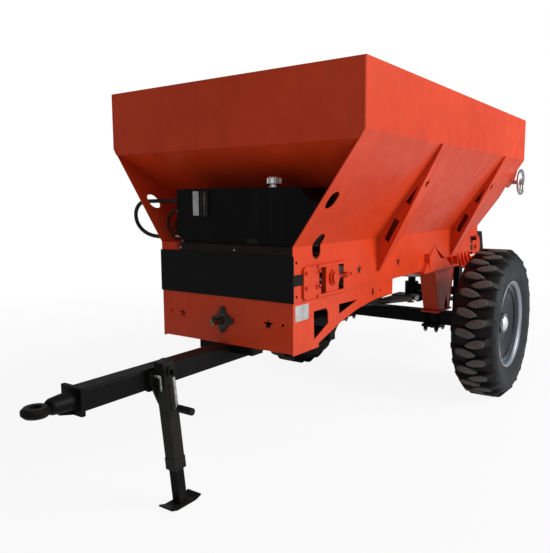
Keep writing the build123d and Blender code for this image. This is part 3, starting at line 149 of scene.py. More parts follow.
class Finish(Net):
    """A surface finish on the piece's own coordinates, in metres."""

    def __init__(self, name, **constants):
        self.material = bpy.data.materials.new(name)
        self.material.use_nodes = True
        super().__init__(self.material.node_tree)
        self.tree.nodes.clear()
        self.shader = self.tree.nodes.new("ShaderNodeBsdfPrincipled")
        output = self.tree.nodes.new("ShaderNodeOutputMaterial")
        self.tree.links.new(self.shader.outputs[0], output.inputs[0])
        for key, value in constants.items():
            self.shader.inputs[key.replace("_", " ")].default_value = value
        self.place = self.node("ShaderNodeTexCoord", out=3)
        self.facing = self.node("ShaderNodeNewGeometry", out=1)

    def feed(self, name, value):
        self.tree.links.new(value.socket, self.shader.inputs[name])
        return self

    def split(self, vector):
        parts = self.node("ShaderNodeSeparateXYZ", sockets={0: vector})
        return [Value(self, parts.socket.node.outputs[i]) for i in range(3)]

    def noise(self, scale, detail, stretch=None):
        place = self.place
        if stretch:
            place = self.node("ShaderNodeMapping", {}, {"Vector": place, "Scale": stretch})
        return self.node("ShaderNodeTexNoise", {},
                         {"Vector": place, "Scale": scale, "Detail": detail, "Roughness": 0.55})

    def cells(self, scale):
        return self.node("ShaderNodeTexVoronoi", {}, {"Vector": self.place, "Scale": scale})

    def mix(self, factor, a, b):
        tones = {6: a if isinstance(a, Value) else (*a, 1), 7: b if isinstance(b, Value) else (*b, 1)}
        return self.node("ShaderNodeMix", {"data_type": "RGBA"}, {0: factor, **tones}, out=2)

    def relief(self, height, depth):
        return self.feed("Normal", self.node("ShaderNodeBump", {}, {"Height": height, "Distance": depth}))

    def chips(self, tone, under, scale, amount):
        """Small nicks through the paint, in patches; returns the chipped colour."""
        nicks = 1 - self.cells(scale).between(0.03, 0.05)
        patches = self.noise(2.4, 3.0) > 0.58
        return self.mix(nicks * patches * amount, tone, under)

    def dust(self, tone, amount):
        """Dry dust on upward faces and below a metre or so; returns the colour and the cover."""
        up = self.split(self.facing)[2].between(0.2, 0.95)
        low = 1 - self.split(self.place)[2].between(0.25, 1.1)
        cloud = self.noise(3.1, 5.0).between(0.38, 0.72)
        grain = self.noise(95.0, 2.0).between(0.35, 0.65)
        cover = (up * 0.6 + low * 0.5) * cloud * (grain * 0.5 + 0.5) * amount
        return self.mix(cover, tone, DUST), cover

    def on(self, *things):
        """Puts the finish on objects, or on the nodes of these names."""
        for thing in things:
            thing = nodes.get(thing, thing)
            thing.data.materials.clear()
            thing.data.materials.append(self.material)


hose_rubber = Finish("hose_rubber", Specular_IOR_Level=0.35)
wrap = hose_rubber.noise(420.0, 2.0)
worn = hose_rubber.noise(22.0, 4.0)
tone = hose_rubber.mix(worn, (0.005, 0.005, 0.005), (0.014, 0.014, 0.014))
hose_rubber.feed("Base Color", hose_rubber.dust(tone, 0.6)[0]).feed("Roughness", worn * 0.25 + 0.42)
hose_rubber.relief(wrap, 0.0006)

hose_runs = {}
for name, (radius, route) in HOSES.items():
    points = [at(*p) for p in route]
    curve = bpy.data.curves.new(name + "_run", "CURVE")
    curve.dimensions = "3D"
    spline = curve.splines.new("NURBS")
    spline.points.add(len(points) - 1)
    for spot, point in zip(spline.points, points):
        spot.co = (*point, 1)
    spline.order_u = 3
    spline.use_endpoint_u = True
    curve.resolution_u = 10
    line = link(bpy.data.objects.new(name + "_dressed", curve))
    depsgraph = bpy.context.evaluated_depsgraph_get()
    bare = bpy.data.meshes.new_from_object(line.evaluated_get(depsgraph))
    run = [vertex.co.copy() for vertex in bare.vertices]
    length = sum((b - a).length for a, b in zip(run, run[1:]))
    curve.bevel_depth = radius
    curve.bevel_resolution = 6
    curve.use_fill_caps = True
    hose_rubber.on(line)
    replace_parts(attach(line, "frame"), name)
    hose_runs[name] = (line, points, length, radius)


# ---- paint -------------------------------------------------------------------------------
# The hopper and its brackets are sheet steel in one coat of orange-red two-pack enamel:
# satin, a little wavy from the spray gun, and dusty low down and on every ledge.
def enamel(name, deep, pale, under, dusty, **constants):
    """A sprayed enamel with slow drifts of tone, runs, nicks, dust and a fine orange peel."""
    made = Finish(name, **constants)
    broad = made.noise(1.1, 4.0).between(0.35, 0.65)
    mottle = made.noise(9.0, 5.0).between(0.3, 0.7)
    tone = made.mix(broad * 0.6 + mottle * 0.4, pale, deep)
    runs = made.noise(26.0, 3.0, stretch=(1.0, 1.0, 0.08)).between(0.56, 0.8)
    tone = made.mix(runs * 0.22, tone, under)
    tone, cover = made.dust(made.chips(tone, under, 38.0, 0.7), dusty)
    made.feed("Base Color", tone).feed("Roughness", mottle * 0.12 + cover * 0.5 + 0.34)
    made.relief(made.noise(260.0, 2.0) * 0.5 + made.noise(7.0, 2.0) * 3.0, 0.0006)
    return made


orange = enamel("orange_enamel", (0.52, 0.031, 0.0050), (0.69, 0.054, 0.010), (0.33, 0.045, 0.018), 0.38,
                Coat_Weight=0.12, Coat_Roughness=0.14, Specular_IOR_Level=0.20)
orange.on("hopper_side_left", "hopper_side_right", "hopper_front_wall", "hopper_rear_wall",
          "hopper_ribs", "front_panel", "bracket_plates", "chain_tensioners",
          "rear_bearings", "pillars", "rear_brackets", "rear_gate", "gate_guides")
black = enamel("black_enamel", (0.0022, 0.0022, 0.0025), (0.0050, 0.0050, 0.0054), (0.03, 0.028, 0.025), 0.10,
               Coat_Weight=0.0, Specular_IOR_Level=0.09)
black.on("drawbar", "axle", "axle_clamps", "oil_tank", "jack_mount", "jack_leg", "towing_eye",
         "spinner_frame", "spinner_gearbox", "spinner_hood", "conveyor_drive")
jack_paint = enamel("jack_enamel", (0.007, 0.0075, 0.0065), (0.014, 0.015, 0.013), (0.08, 0.075, 0.065), 0.12,
                    Coat_Weight=0.0, Specular_IOR_Level=0.16)
jack_paint.on("jack_tube")

# the rail's orange paint is darkened with painted shade where it lies under the tank, all but its right end
rail_paint = Finish("oiled_enamel", Specular_IOR_Level=0.2)
patches = rail_paint.noise(18.0, 4.0)
# orange where y is below about -0.33 m; elsewhere a mottled dark tone of painted shade
unshaded_end = 1 - (rail_paint.split(rail_paint.place)[1] + patches * 0.05).between(-0.33, -0.28)
tone = rail_paint.mix(patches.between(0.35, 0.65), (0.0075, 0.0022, 0.0022), (0.018, 0.004, 0.0035))
rail_paint.feed("Base Color", rail_paint.mix(unshaded_end, tone, (0.60, 0.035, 0.0075)))
rail_paint.feed("Roughness", patches * 0.3 + 0.3).relief(patches, 0.0004)
rail_paint.on("front_rail")

# ---- steel finishes ----------------------------------------------------------------------
# Turned steel is bright with fine marks round it, and greased on the input; castings are
# grey; zinc plate is pale; the conveyor's floor is dark with oil, and its chain is scoured.
bright = Finish("turned_steel", Metallic=1.0)
marks = bright.noise(700.0, 2.0, stretch=(1.0, 0.05, 1.0))
stain = bright.noise(14.0, 5.0).between(0.42, 0.75)
tone = bright.mix(stain, (0.60, 0.60, 0.61), (0.34, 0.31, 0.28))
bright.feed("Base Color", tone).feed("Roughness", stain * 0.25 + marks * 0.12 + 0.2)
bright.relief(marks, 0.0003)
bright.on("conveyor_front_shaft", "conveyor_rear_shaft", "gearbox_yoke", "gate_shaft", "handwheel")

greased = Finish("greased_steel", Metallic=1.0)
film = greased.noise(45.0, 4.0).between(0.35, 0.65)
greased.feed("Base Color", greased.mix(film, (0.50, 0.43, 0.30), (0.06, 0.048, 0.03)))
greased.feed("Roughness", film * 0.2 + 0.22).relief(film, 0.0003)
greased.on("input_shaft")

grey = Finish("grey_castings", Metallic=0.6)
grain = grey.noise(160.0, 4.0)
tone = grey.mix(grain, (0.085, 0.08, 0.07), (0.04, 0.038, 0.033))
grey.feed("Base Color", grey.dust(tone, 0.4)[0])
grey.feed("Roughness", grain * 0.2 + 0.4).relief(grain, 0.0012)
grey.on("cardan_shaft", "input_bearing")

zinc = Finish("zinc_plate", Metallic=1.0)
spangle = zinc.cells(55.0)
tone = zinc.mix(zinc.noise(30.0, 4.0), (0.62, 0.63, 0.64), (0.44, 0.45, 0.46))
zinc.feed("Base Color", tone).feed("Roughness", spangle * 0.2 + 0.26)
zinc.relief(zinc.noise(300.0, 2.0), 0.0003)
zinc.on("spinner_left", "spinner_right", "hose_block")

dark_steel = Finish("oiled_steel", Metallic=0.85)
film = dark_steel.noise(24.0, 5.0).between(0.3, 0.75)
tone = dark_steel.mix(film, (0.085, 0.078, 0.07), (0.022, 0.019, 0.016))
dark_steel.feed("Base Color", tone).feed("Roughness", film * 0.3 + 0.32)
dark_steel.relief(dark_steel.noise(180.0, 3.0), 0.0008)
dark_steel.on("conveyor_floor")

scoured = Finish("scoured_steel", Metallic=0.9)
rubs = scoured.noise(70.0, 4.0).between(0.35, 0.65)
scoured.feed("Base Color", scoured.mix(rubs, (0.26, 0.25, 0.24), (0.07, 0.06, 0.052)))
scoured.feed("Roughness", rubs * 0.25 + 0.28).relief(rubs, 0.0004)
scoured.on("conveyor_chain")


# ---- weld seams --------------------------------------------------------------------------
# The sheets and brackets are joined by hand-laid beads, 5 to 7 mm wide, and painted over.
# A bead follows each path as a rippled half-buried rope.
class Growth(Net):
    """A Geometry Nodes tree with named inputs, which is run once and kept as a plain mesh."""

    def __init__(self, name, **inputs):
        tree = bpy.data.node_groups.new(name, "GeometryNodeTree")
        super().__init__(tree)
        tree.interface.new_socket("Geometry", in_out="INPUT", socket_type="NodeSocketGeometry")
        for key, kind in {**inputs, "Material": "Material"}.items():
            tree.interface.new_socket(key, in_out="INPUT", socket_type="NodeSocket" + kind)
        tree.interface.new_socket("Geometry", in_out="OUTPUT", socket_type="NodeSocketGeometry")
        group = tree.nodes.new("NodeGroupInput")
        self.given = {socket.name: Value(self, socket) for socket in group.outputs}

    def sum(self, operation, *values):
        return self.node("ShaderNodeMath", {"operation": operation}, dict(enumerate(values)))

    def turned(self, rotation, angle):
        """A rotation, turned further about its own Z."""
        turn = self.node("FunctionNodeAxisAngleToRotation", {}, {"Axis": UP, "Angle": angle})
        return self.node("FunctionNodeRotateRotation", {"rotation_space": "LOCAL"},
                         {"Rotation": rotation, 1: turn})

    def copies(self, points, rotation, scale=(1, 1, 1)):
        """The given piece, set on points."""
        pattern = self.node("GeometryNodeObjectInfo", {}, {"Object": self.given["Piece"]}, out=4)
        return self.node("GeometryNodeInstanceOnPoints", {}, {
            "Points": points, "Instance": pattern, "Rotation": rotation, "Scale": scale})

    def ends(self, geometry):
        """Makes instances real, sets the material, and closes the tree."""
        real = self.node("GeometryNodeRealizeInstances", {}, {"Geometry": geometry})
        painted = self.node("GeometryNodeSetMaterial", {},
                            {"Geometry": real, "Material": self.given["Material"]})
        output = self.tree.nodes.new("NodeGroupOutput")
        self.tree.links.new(painted.socket, output.inputs[0])

    def grown(self, name, base, **values):
        """Runs the tree on a base mesh with these inputs; returns the mesh that it makes."""
        thing = link(bpy.data.objects.new(name, base))
        grower = thing.modifiers.new("growth", "NODES")
        grower.node_group = self.tree
        for item in self.tree.interface.items_tree:
            if item.in_out == "INPUT" and item.name in values:
                grower[item.identifier] = values[item.name]
        depsgraph = bpy.context.evaluated_depsgraph_get()
        mesh = bpy.data.meshes.new_from_object(thing.evaluated_get(depsgraph))
        bpy.data.objects.remove(thing)
        return mesh

    def stamped(self, name, pattern, base, **values):
        """Runs the tree with a mesh as its piece."""
        stamp = link(bpy.data.objects.new(name + "_pattern", pattern))
        mesh = self.grown(name, base, Piece=stamp, **values)
        bpy.data.objects.remove(stamp)
        return mesh


def paths(*runs):
    """A mesh of bare edges along each run of points."""
    verts, edges = [], []
    for run in runs:
        edges += [(len(verts) + i, len(verts) + i + 1) for i in range(len(run) - 1)]
        verts += run
    mesh = bpy.data.meshes.new("paths")
    mesh.from_pydata(verts, edges, [])
    return mesh


bead = Growth("weld_bead", Radius="Float")
curve = bead.node("GeometryNodeMeshToCurve", {}, {"Mesh": bead.given["Geometry"]})
curve = bead.node("GeometryNodeResampleCurve", {"mode": "LENGTH"}, {"Curve": curve, "Length": 0.004})
ripple = bead.sum("SINE", bead.node("GeometryNodeInputIndex") * 2.2) * 0.16 + 1.0
wander = bead.node("FunctionNodeRandomValue", {"data_type": "FLOAT"}, {2: 0.86, 3: 1.12, "Seed": 7}, out=1)
curve = bead.node("GeometryNodeSetCurveRadius", {}, {"Curve": curve, "Radius": ripple * wander})
rope = bead.node("GeometryNodeCurvePrimitiveCircle", {}, {"Resolution": 7, "Radius": bead.given["Radius"]})
bead.ends(bead.node("GeometryNodeCurveToMesh", {}, {
    "Curve": curve, "Profile Curve": rope, "Scale": bead.node("GeometryNodeInputRadius"), "Fill Caps": True}))


def tidy(mesh):
    """Merges doubles, turns faces outwards, and smooths all but the edges over 35 degrees."""
    work = bmesh.new()
    work.from_mesh(mesh)
    bmesh.ops.remove_doubles(work, verts=work.verts, dist=1e-6)
    bmesh.ops.recalc_face_normals(work, faces=work.faces)
    work.to_mesh(mesh)
    work.free()
    mesh.shade_smooth()
    mesh.set_sharp_from_angle(angle=radians(35))
    return mesh


def piece(name, mesh, finish, body="frame", instead_of=None):
    """A finished piece: its mesh in place, its finish and its body; the part it stands in for is hidden."""
    thing = link(bpy.data.objects.new(name, tidy(mesh)))
    finish.on(thing)
    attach(thing, body)
    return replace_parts(thing, instead_of) if instead_of else thing


def welds(name, radius, runs, finish):
    """Beads on the frame along runs of (x, y, z) millimetres, from the hopper's front face."""
    base = paths(*[[at(*p) for p in run] for run in runs])
    mesh = bead.grown(name, base, Radius=radius, Material=finish.material)
    return piece(name, mesh, finish)


def both(runs):
    """The runs and their mirror images on the machine's right."""
    return [*runs, *[[(x, -y, z) for x, y, z in run] for run in runs]]


# in millimetres, from the hopper's front face, the machine's middle and the ground
HALF_TOP, HALF_BOX = 866.5, 467
CREASE, BOX_TOP, BOX_BOTTOM = 1817, 1257, 970
RIB_FRONTS, RIB_WIDTH = (-960, -2295), 107
SHOULDER_ENDS, PILLAR_EDGES = (-1655, -2400), ((-2069, -1961), (-2306, -2390))


def slope_y(z):
    """Half the hopper's width at height z on its slope."""
    return HALF_BOX + (HALF_TOP - HALF_BOX) * (z - BOX_TOP) / (CREASE - BOX_TOP)


seams = [[(-2, HALF_BOX + 0.5, BOX_BOTTOM), (-1198, HALF_BOX + 0.5, BOX_BOTTOM)],
         [(1, 861, 2138), (1, 861, CREASE), (1, slope_y(1779), 1779)]]
for front in RIB_FRONTS:
    x, far = front + 1, front - RIB_WIDTH
    seams.append([(x, slope_y(1812), 1812), (x, HALF_BOX, BOX_TOP), (x, HALF_BOX, 1052)])
    seams.append([(far, slope_y(1600), 1600), (far, slope_y(1292), 1292)])
seams += [[(x, 335, 956), (x, 511, 956)] for x in SHOULDER_ENDS]
seams.append([(-1655, HALF_BOX + 1, 972), (-1966, HALF_BOX + 1, 1158), (-2215, HALF_BOX + 1, 972)])
seams += [[(foot, 471, 620), (top, 471, 952)] for foot, top in PILLAR_EDGES]
welds("hopper_welds", 0.0034, both(seams), orange)

# ---- bolts and nuts ----------------------------------------------------------------------
# Zinc-plated and painted hexagon bolts hold the brackets, guides, clamps and spinner vanes.
# Each is a chamfered head on a washer, turned to its own angle as a spanner leaves it.
bolting = Growth("bolting", Piece="Object")
way = bolting.node("GeometryNodeInputNamedAttribute", {"data_type": "FLOAT_VECTOR"}, {"Name": "way"})
size = bolting.node("GeometryNodeInputNamedAttribute", {"data_type": "FLOAT"}, {"Name": "size"})
upright = bolting.node("FunctionNodeAlignRotationToVector", {"axis": "Z"}, {"Vector": way})
angle = bolting.node("FunctionNodeRandomValue", {"data_type": "FLOAT"}, {2: 0.0, 3: 2 * pi, "Seed": 3}, out=1)
bolting.ends(bolting.copies(bolting.given["Geometry"], bolting.turned(upright, angle), size))


def turned_mesh(name, outline, start, way, sides):
    """A mesh turned from (radius, height) points about a line; ends at radius 0 are closed."""
    way = Vector(way).normalized()
    side = way.orthogonal().normalized()
    other = way.cross(side)
    verts, rings, faces = [], [], []
    for radius, height in outline:
        count = sides if radius else 1
        rings.append(range(len(verts), len(verts) + count))
        for i in range(count):
            turn = 2 * pi * i / sides
            verts.append(Vector(start) + way * height + (side * cos(turn) + other * sin(turn)) * radius)
    for a, b in zip(rings, rings[1:]):
        for i in range(sides):
            j = (i + 1) % sides
            quad = list(dict.fromkeys((a[i % len(a)], a[j % len(a)], b[j % len(b)], b[i % len(b)])))
            if len(quad) > 2:
                faces.append(quad)
    mesh = bpy.data.meshes.new(name)
    mesh.from_pydata(verts, [], faces)
    return mesh


def joined(name, meshes):
    """One mesh from several."""
    work = bmesh.new()
    for mesh in meshes:
        work.from_mesh(mesh)
    made = bpy.data.meshes.new(name)
    work.to_mesh(made)
    work.free()
    return made


# a 10 mm bolt's washer, head and the end of its shank, standing on the surface
WASHER = ((0, -0.001), (0.0105, -0.001), (0.0105, 0.0016), (0.010, 0.002), (0, 0.002))
HEXAGON = ((0, 0.001), (0.0094, 0.001), (0.0094, 0.0072), (0.0080, 0.0084), (0, 0.0084))
SHANK = ((0, 0.007), (0.0046, 0.007), (0.0046, 0.0104), (0.0038, 0.0112), (0, 0.0112))
head = joined("bolt_head", [turned_mesh("bolt_head", outline, (0, 0, 0), UP, sides)
                            for outline, sides in ((WASHER, 20), (HEXAGON, 6), (SHANK, 14))])


def bolts(name, rows, finish, body="frame"):
    """Bolts at rows of (x, y, z, way, size); size 1 is a 10 mm bolt."""
    base = bpy.data.meshes.new(name)
    base.from_pydata([at(*row[:3]) for row in rows], [], [])
    for key, kind in (("way", "FLOAT_VECTOR"), ("size", "FLOAT")):
        base.attributes.new(key, kind, "POINT")
    for i, row in enumerate(rows):
        base.attributes["way"].data[i].vector = row[3]
        base.attributes["size"].data[i].value = row[4]
    mesh = bolting.stamped(name, head, base, Material=finish.material)
    return piece(name, mesh, finish, body)


SHAFTS, SHAFT_Z, INPUT_Z, AXLE_X = (-390, -2960), 1067, 837, -2150
DISC_X, DISC_Y, VANE_OFFSET = -3330, 285, 14
bolts("rail_bolts", [(0.5, y, 1229, AHEAD, 0.62) for y in (-312, 87)], bright)
plates = [(x, side * 479.5, z, (0, side, 0), 1.1)
          for side in (1, -1) for x in (-106, -234) for z in (1038, 1117)]
plates += [(-2516 - i * 72.5, side * 475, 938.5, UP, 1.0) for side in (1, -1) for i in range(4)]
bolts("bracket_bolts", plates, orange)
hood = [(x, side * 463, 900, (0, side, 0), 0.9) for side in (1, -1) for x in (-3091, -3181)]
bolts("hood_bolts", hood, black)
guides = [(-3001.5, side * 432, z, BEHIND, 0.9) for side in (1, -1) for z in (1190, 1330, 1470, 1580)]
bolts("guide_bolts", guides, zinc)
clamps = [(x, side * y, 461, DOWN, 1.5)
          for side in (1, -1) for x in (AXLE_X + 72, AXLE_X - 72) for y in (363, 452)]
bolts("clamp_nuts", clamps, zinc)
bearing = [(12.5, 61 * cos(i * pi / 2), INPUT_Z + 61 * sin(i * pi / 2), AHEAD, 1.15) for i in range(4)]
bolts("input_bolts", bearing, grey)
drive = [(SHAFTS[1] + 82 * cos(i * pi / 3), -483.5, SHAFT_Z + 82 * sin(i * pi / 3), RIGHT, 0.8)
         for i in range(6)]
bolts("drive_bolts", drive, zinc)
for side, name in ((1, "left"), (-1, "right")):
    vanes = []
    for k in range(4):
        out_x, out_y = cos(k * pi / 2), sin(k * pi / 2)
        for reach in (95, 165, 235):
            vanes.append((DISC_X + out_x * reach + out_y * VANE_OFFSET,
                          side * DISC_Y + out_y * reach - out_x * VANE_OFFSET, 745.5, UP, 0.7))
    bolts(f"vane_bolts_{name}", vanes, zinc, f"disc_{name}")

# ---- oil tank ----------------------------------------------------------------------------
# The tank is folded and welded from sheet, with a drain plug under its right end and a chrome
# breather cap. It carries a level gauge behind a metal guard, and a blank label and plate; a
# second blank plate is riveted to the side of the box.
TANK_FRONT, TANK_BACK, GAUGE_Y, GAUGE_Z = -20, -290, -135, 1478
PLATE_X, PLATE_Z = -84, 912
# the cap's profile as (radius, height, depth of the 16 grooves for a hand), in millimetres
CAP = ((34, 0, 0), (34, 6, 0), (33, 7, 0), (24, 7.2, 0), (24, 16, 0), (38, 20, 0), (39, 22, 0),
       (39, 23.5, 4), (39, 50, 4), (39, 51.5, 0), (38, 54, 0), (33, 59, 0), (31, 60, 0))


def skinned(name, sections, closed=True):
    """A mesh skinned over sections with the same number of points, capped at both ends."""
    count = len(sections[0])
    verts = [point for section in sections for point in section]
    faces = []
    for k in range(len(sections) - 1):
        for i in range(count):
            j = (i + 1) % count
            faces.append((k * count + i, k * count + j, (k + 1) * count + j, (k + 1) * count + i))
    if closed:
        faces += [list(range(count))[::-1], list(range(len(verts) - count, len(verts)))]
    mesh = bpy.data.meshes.new(name)
    mesh.from_pydata(verts, [], faces)
    return mesh


def slab(name, centre, across, along, thickness, corner, edge):
    """A plate from its middle and its two half sides, with round corners and a bevelled face."""
    across, along = Vector(across), Vector(along)
    out = across.cross(along).normalized()
    half_a, half_b = across.length - corner, along.length - corner
    a, b = across.normalized(), along.normalized()

    def ring(inset, height):
        points = []
        for q, (side_a, side_b) in enumerate(((1, 1), (-1, 1), (-1, -1), (1, -1))):
            for k in range(4):
                turn = q * pi / 2 + k * pi / 6
                reach = corner - inset
                points.append(centre + a * (side_a * half_a + reach * cos(turn))
                              + b * (side_b * half_b + reach * sin(turn)) + out * height)
        return points

    return skinned(name, [ring(0, 0), ring(0, thickness - edge), ring(edge, thickness)])


corners = [(-353, 1560), (497, 1560), (slope_y(1433) - 13, 1433), (456, 1257), (-298, 1257), (-353, 1302)]
ends = [[(x, y, z) for y, z in [*corners, corners[0]]] for x in (TANK_FRONT - 2, TANK_BACK + 2)]
welds("tank_welds", 0.0026, ends, black)
bolts("tank_plug", [(-155, -250, 1256.5, DOWN, 1.6)], zinc)
paper = Finish("blank_label", Specular_IOR_Level=0.3)
grime = paper.noise(18.0, 5.0).between(0.4, 0.8)
paper.feed("Base Color", paper.mix(grime * 0.6, (0.50, 0.51, 0.50), (0.18, 0.19, 0.18)))
paper.feed("Roughness", grime * 0.3 + 0.4)
paper.relief(paper.noise(90.0, 2.0), 0.0002)
label = slab("tank_label", at(TANK_FRONT, -207, 1480), (0, 0.022, 0), (0, 0, 0.068), 0.0006, 0.003, 0.0002)
piece("tank_label", label, paper)
plate = slab("rating_plate", at(TANK_FRONT, 191, 1280), (0, 0.036, 0), (0, 0, 0.012), 0.001, 0.002, 0.0003)
piece("rating_plate", plate, jack_paint)
plate = slab("side_plate", at(PLATE_X, HALF_BOX, PLATE_Z), (-0.065, 0, 0), (0, 0, 0.042),
             0.0012, 0.004, 0.0004)
piece("side_plate", plate, paper)
rivets = [(x, HALF_BOX + 0.7, z, LEFT, 0.32)
          for x in (PLATE_X + 58, PLATE_X - 58) for z in (PLATE_Z + 35, PLATE_Z - 35)]
bolts("plate_rivets", rivets, zinc)
back = slab("gauge_back", at(TANK_FRONT, GAUGE_Y, GAUGE_Z), (0, 0.023, 0), (0, 0, 0.072), 0.004, 0.010, 0.001)
piece("gauge_back", back, jack_paint)
edges = [slab("gauge_edge", at(-16.5, y, GAUGE_Z), (0, 0.0022, 0), (0, 0, 0.066), 0.012, 0.002, 0.0008)
         for y in (GAUGE_Y - 19, GAUGE_Y + 19)]
piece("gauge_guard", joined("gauge_guard", edges), grey)
glass = Finish("gauge_glass", Coat_Weight=0.6, Coat_Roughness=0.05)
oil = 1 - glass.split(glass.place)[2].between(1.470, 1.472)
tint = glass.mix(oil, (0.05, 0.05, 0.05), (0.02, 0.013, 0.006))
glass.feed("Base Color", glass.mix(glass.noise(40.0, 3.0) * 0.4, tint, (0.03, 0.03, 0.03)))
glass.feed("Roughness", glass.noise(60.0, 2.0) * 0.2 + 0.12)
column = turned_mesh("gauge_column", [(0, -0.058), (0.0085, -0.058), (0.0085, 0.058), (0, 0.058)],
                     at(-14, GAUGE_Y, GAUGE_Z), UP, 20)
piece("gauge_column", column, glass)
bolts("gauge_bolts", [(-16, GAUGE_Y, z, AHEAD, 0.8) for z in (GAUGE_Z - 62, GAUGE_Z + 62)], grey)

chrome = Finish("polished_chrome", Metallic=1.0)
smears = chrome.noise(40.0, 4.0)
chrome.feed("Base Color", chrome.mix(smears, (0.90, 0.90, 0.92), (0.62, 0.62, 0.64)))
chrome.feed("Roughness", smears * 0.12 + 0.06).relief(smears, 0.0002)
low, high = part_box("breather_cap")
foot = Vector(((low.x + high.x) / 2, (low.y + high.y) / 2, low.z))
crown = []
for radius, height, groove in CAP:
    turns = [(pi * i / 48, radius - groove * (i // 3 % 2)) for i in range(96)]
    crown.append([foot + Vector((reach * cos(a), reach * sin(a), height)) / 1000 for a, reach in turns])
piece("breather_cap_dressed", skinned("cap", crown), chrome, instead_of="breather_cap")

# ---- tensioners and cover ----------------------------------------------------------------
# The front shaft's bearings slide in side frames and are set by threaded rods with locknuts.
# The belting cover hangs under the rail.
belting = Finish("rubber_belting", Specular_IOR_Level=0.14)
ply = belting.noise(330.0, 2.0)
haze = belting.noise(5.0, 5.0).between(0.35, 0.7)
belting.feed("Base Color", belting.mix(haze, (0.0035, 0.0035, 0.0035), (0.0085, 0.0085, 0.008)))
belting.feed("Roughness", haze * 0.2 + 0.5)
belting.relief(ply * 0.4 + belting.noise(3.0, 2.0) * 6.0, 0.002)
belting.on("front_cover")

THREAD_ROOT, THREAD_CREST, THREAD_PITCH, TURNS = 0.0082, 0.0095, 0.002, 70
LOCKNUT = ((0, 0), (0.0150, 0), (0.0166, 0.0015), (0.0166, 0.0115), (0.0150, 0.013), (0, 0.013))
BEARING_FACE = ((0.0255, 0.0), (0.0335, 0.0), (0.0335, 0.0022), (0.0320, 0.0030),
                (0.0275, 0.0030), (0.0255, 0.0018), (0.0255, 0.0))
thread = [(0, 0)]
for i in range(TURNS):
    thread += [(THREAD_ROOT, i * THREAD_PITCH), (THREAD_CREST, (i + 0.5) * THREAD_PITCH)]
thread += [(THREAD_ROOT, TURNS * THREAD_PITCH), (0, TURNS * THREAD_PITCH)]
rods = []
for side in (1, -1):
    start = at(-458, side * 477, SHAFT_Z)
    rods.append(turned_mesh("thread", thread, start, BEHIND, 18))
    for reach in (0.068, 0.084):
        rods.append(turned_mesh("locknut", LOCKNUT, start + Vector(BEHIND) * reach, BEHIND, 6))
    middle = at(SHAFTS[0], side * 499, SHAFT_Z)
    rods.append(turned_mesh("bearing_face", BEARING_FACE, middle, (0, side, 0), 48))
piece("tensioner_rods", joined("tensioner_rods", rods), orange)

# ---- drawbar and jack --------------------------------------------------------------------
# The beam is welded to its front plate, members and cradle. The jack hangs on a stub beside
# it, locked by a pin on a fine chain, and is wound by a crank with a black plastic grip.
BEAM_Z = 653
JACK_FOOT, JACK_PIVOT = Vector((482, 111, 0)), Vector((560, 111, BEAM_Z))
seams = [[(984, y, z) for y, z in ((-51, 612), (-51, 694), (-42, 704), (42, 704), (51, 694), (51, 612),
                                   (42, 602), (-42, 602), (-51, 612))]]
seams += [[(x, -50, 703.5), (x, 50, 703.5)] for x in (-14, -110, -380, -440, -1119, -1180)]
seams += [[(x, side * 50.5, 655), (x, side * 50.5, 698)] for side in (1, -1) for x in (-14, -110)]
seams.append([(1005.5, 44.5 * cos(i * pi / 16), BEAM_Z + 44.5 * sin(i * pi / 16)) for i in range(33)])
seams += [[(x, 50.5, 610), (x, 50.5, 690)] for x in (508, 636)]
welds("drawbar_welds", 0.0036, seams, black)

lean = (JACK_PIVOT - JACK_FOOT).normalized()


def jack(x, y, z):
    """A point of the leaning jack: forwards, out to the left, and up along it, in millimetres."""
    return at(*(JACK_FOOT + Vector((lean.z, 0, -lean.x)) * x + Vector((0, y, 0)) + lean * z))


rubbed = Finish("rubbed_steel", Metallic=0.9)
scuffs = rubbed.noise(60.0, 4.0).between(0.35, 0.7)
arm = 1 - rubbed.split(rubbed.place)[2].between(0.672, 0.680)
tone = rubbed.mix(arm * (1 - scuffs * 0.4), (0.012, 0.012, 0.011), (0.62, 0.64, 0.65))
rubbed.feed("Base Color", tone).feed("Roughness", scuffs * 0.2 + 0.22).relief(scuffs, 0.0003)
rubbed.on("jack_crank")

grip_plastic = Finish("grip_plastic", Specular_IOR_Level=0.2)
pits = grip_plastic.noise(150.0, 3.0)
grip_plastic.feed("Base Color", grip_plastic.mix(pits, (0.004, 0.004, 0.004), (0.010, 0.0095, 0.0095)))
grip_plastic.feed("Roughness", pits * 0.3 + 0.35)
grip_plastic.relief(pits, 0.0006)
sleeve = [(0.0, 0.0), (0.0150, 0.0), (0.0180, 0.002)]
for i in range(9):
    rib = 0.005 + i * 0.0088
    sleeve += [(0.0183, rib), (0.0174, rib + 0.0025), (0.0174, rib + 0.005)]
sleeve += [(0.0183, 0.087), (0.0172, 0.0905), (0.0, 0.0915)]
piece("crank_grip", turned_mesh("crank_grip", sleeve, jack(0, 65.5, 523), LEFT, 32), grip_plastic,
      "jack")

PIN = ((0, -0.012), (0.0055, -0.011), (0.0062, -0.009), (0.0062, 0.040), (0.0085, 0.041),
       (0.0085, 0.046), (0, 0.047))
pin = turned_mesh("jack_pin", PIN, jack(44, -36, 688), LEFT, 18)

links = Growth("links", Piece="Object", Count="Int")
line = links.node("GeometryNodeMeshToCurve", {}, {"Mesh": links.given["Geometry"]})
dots = links.node("GeometryNodeCurveToPoints", {}, {"Curve": line, "Count": links.given["Count"]})
along = Value(links, dots.socket.node.outputs["Rotation"])
quarter = (links.node("GeometryNodeInputIndex") % 2.0) * (pi / 2)
links.ends(links.copies(dots, links.turned(along, quarter)))


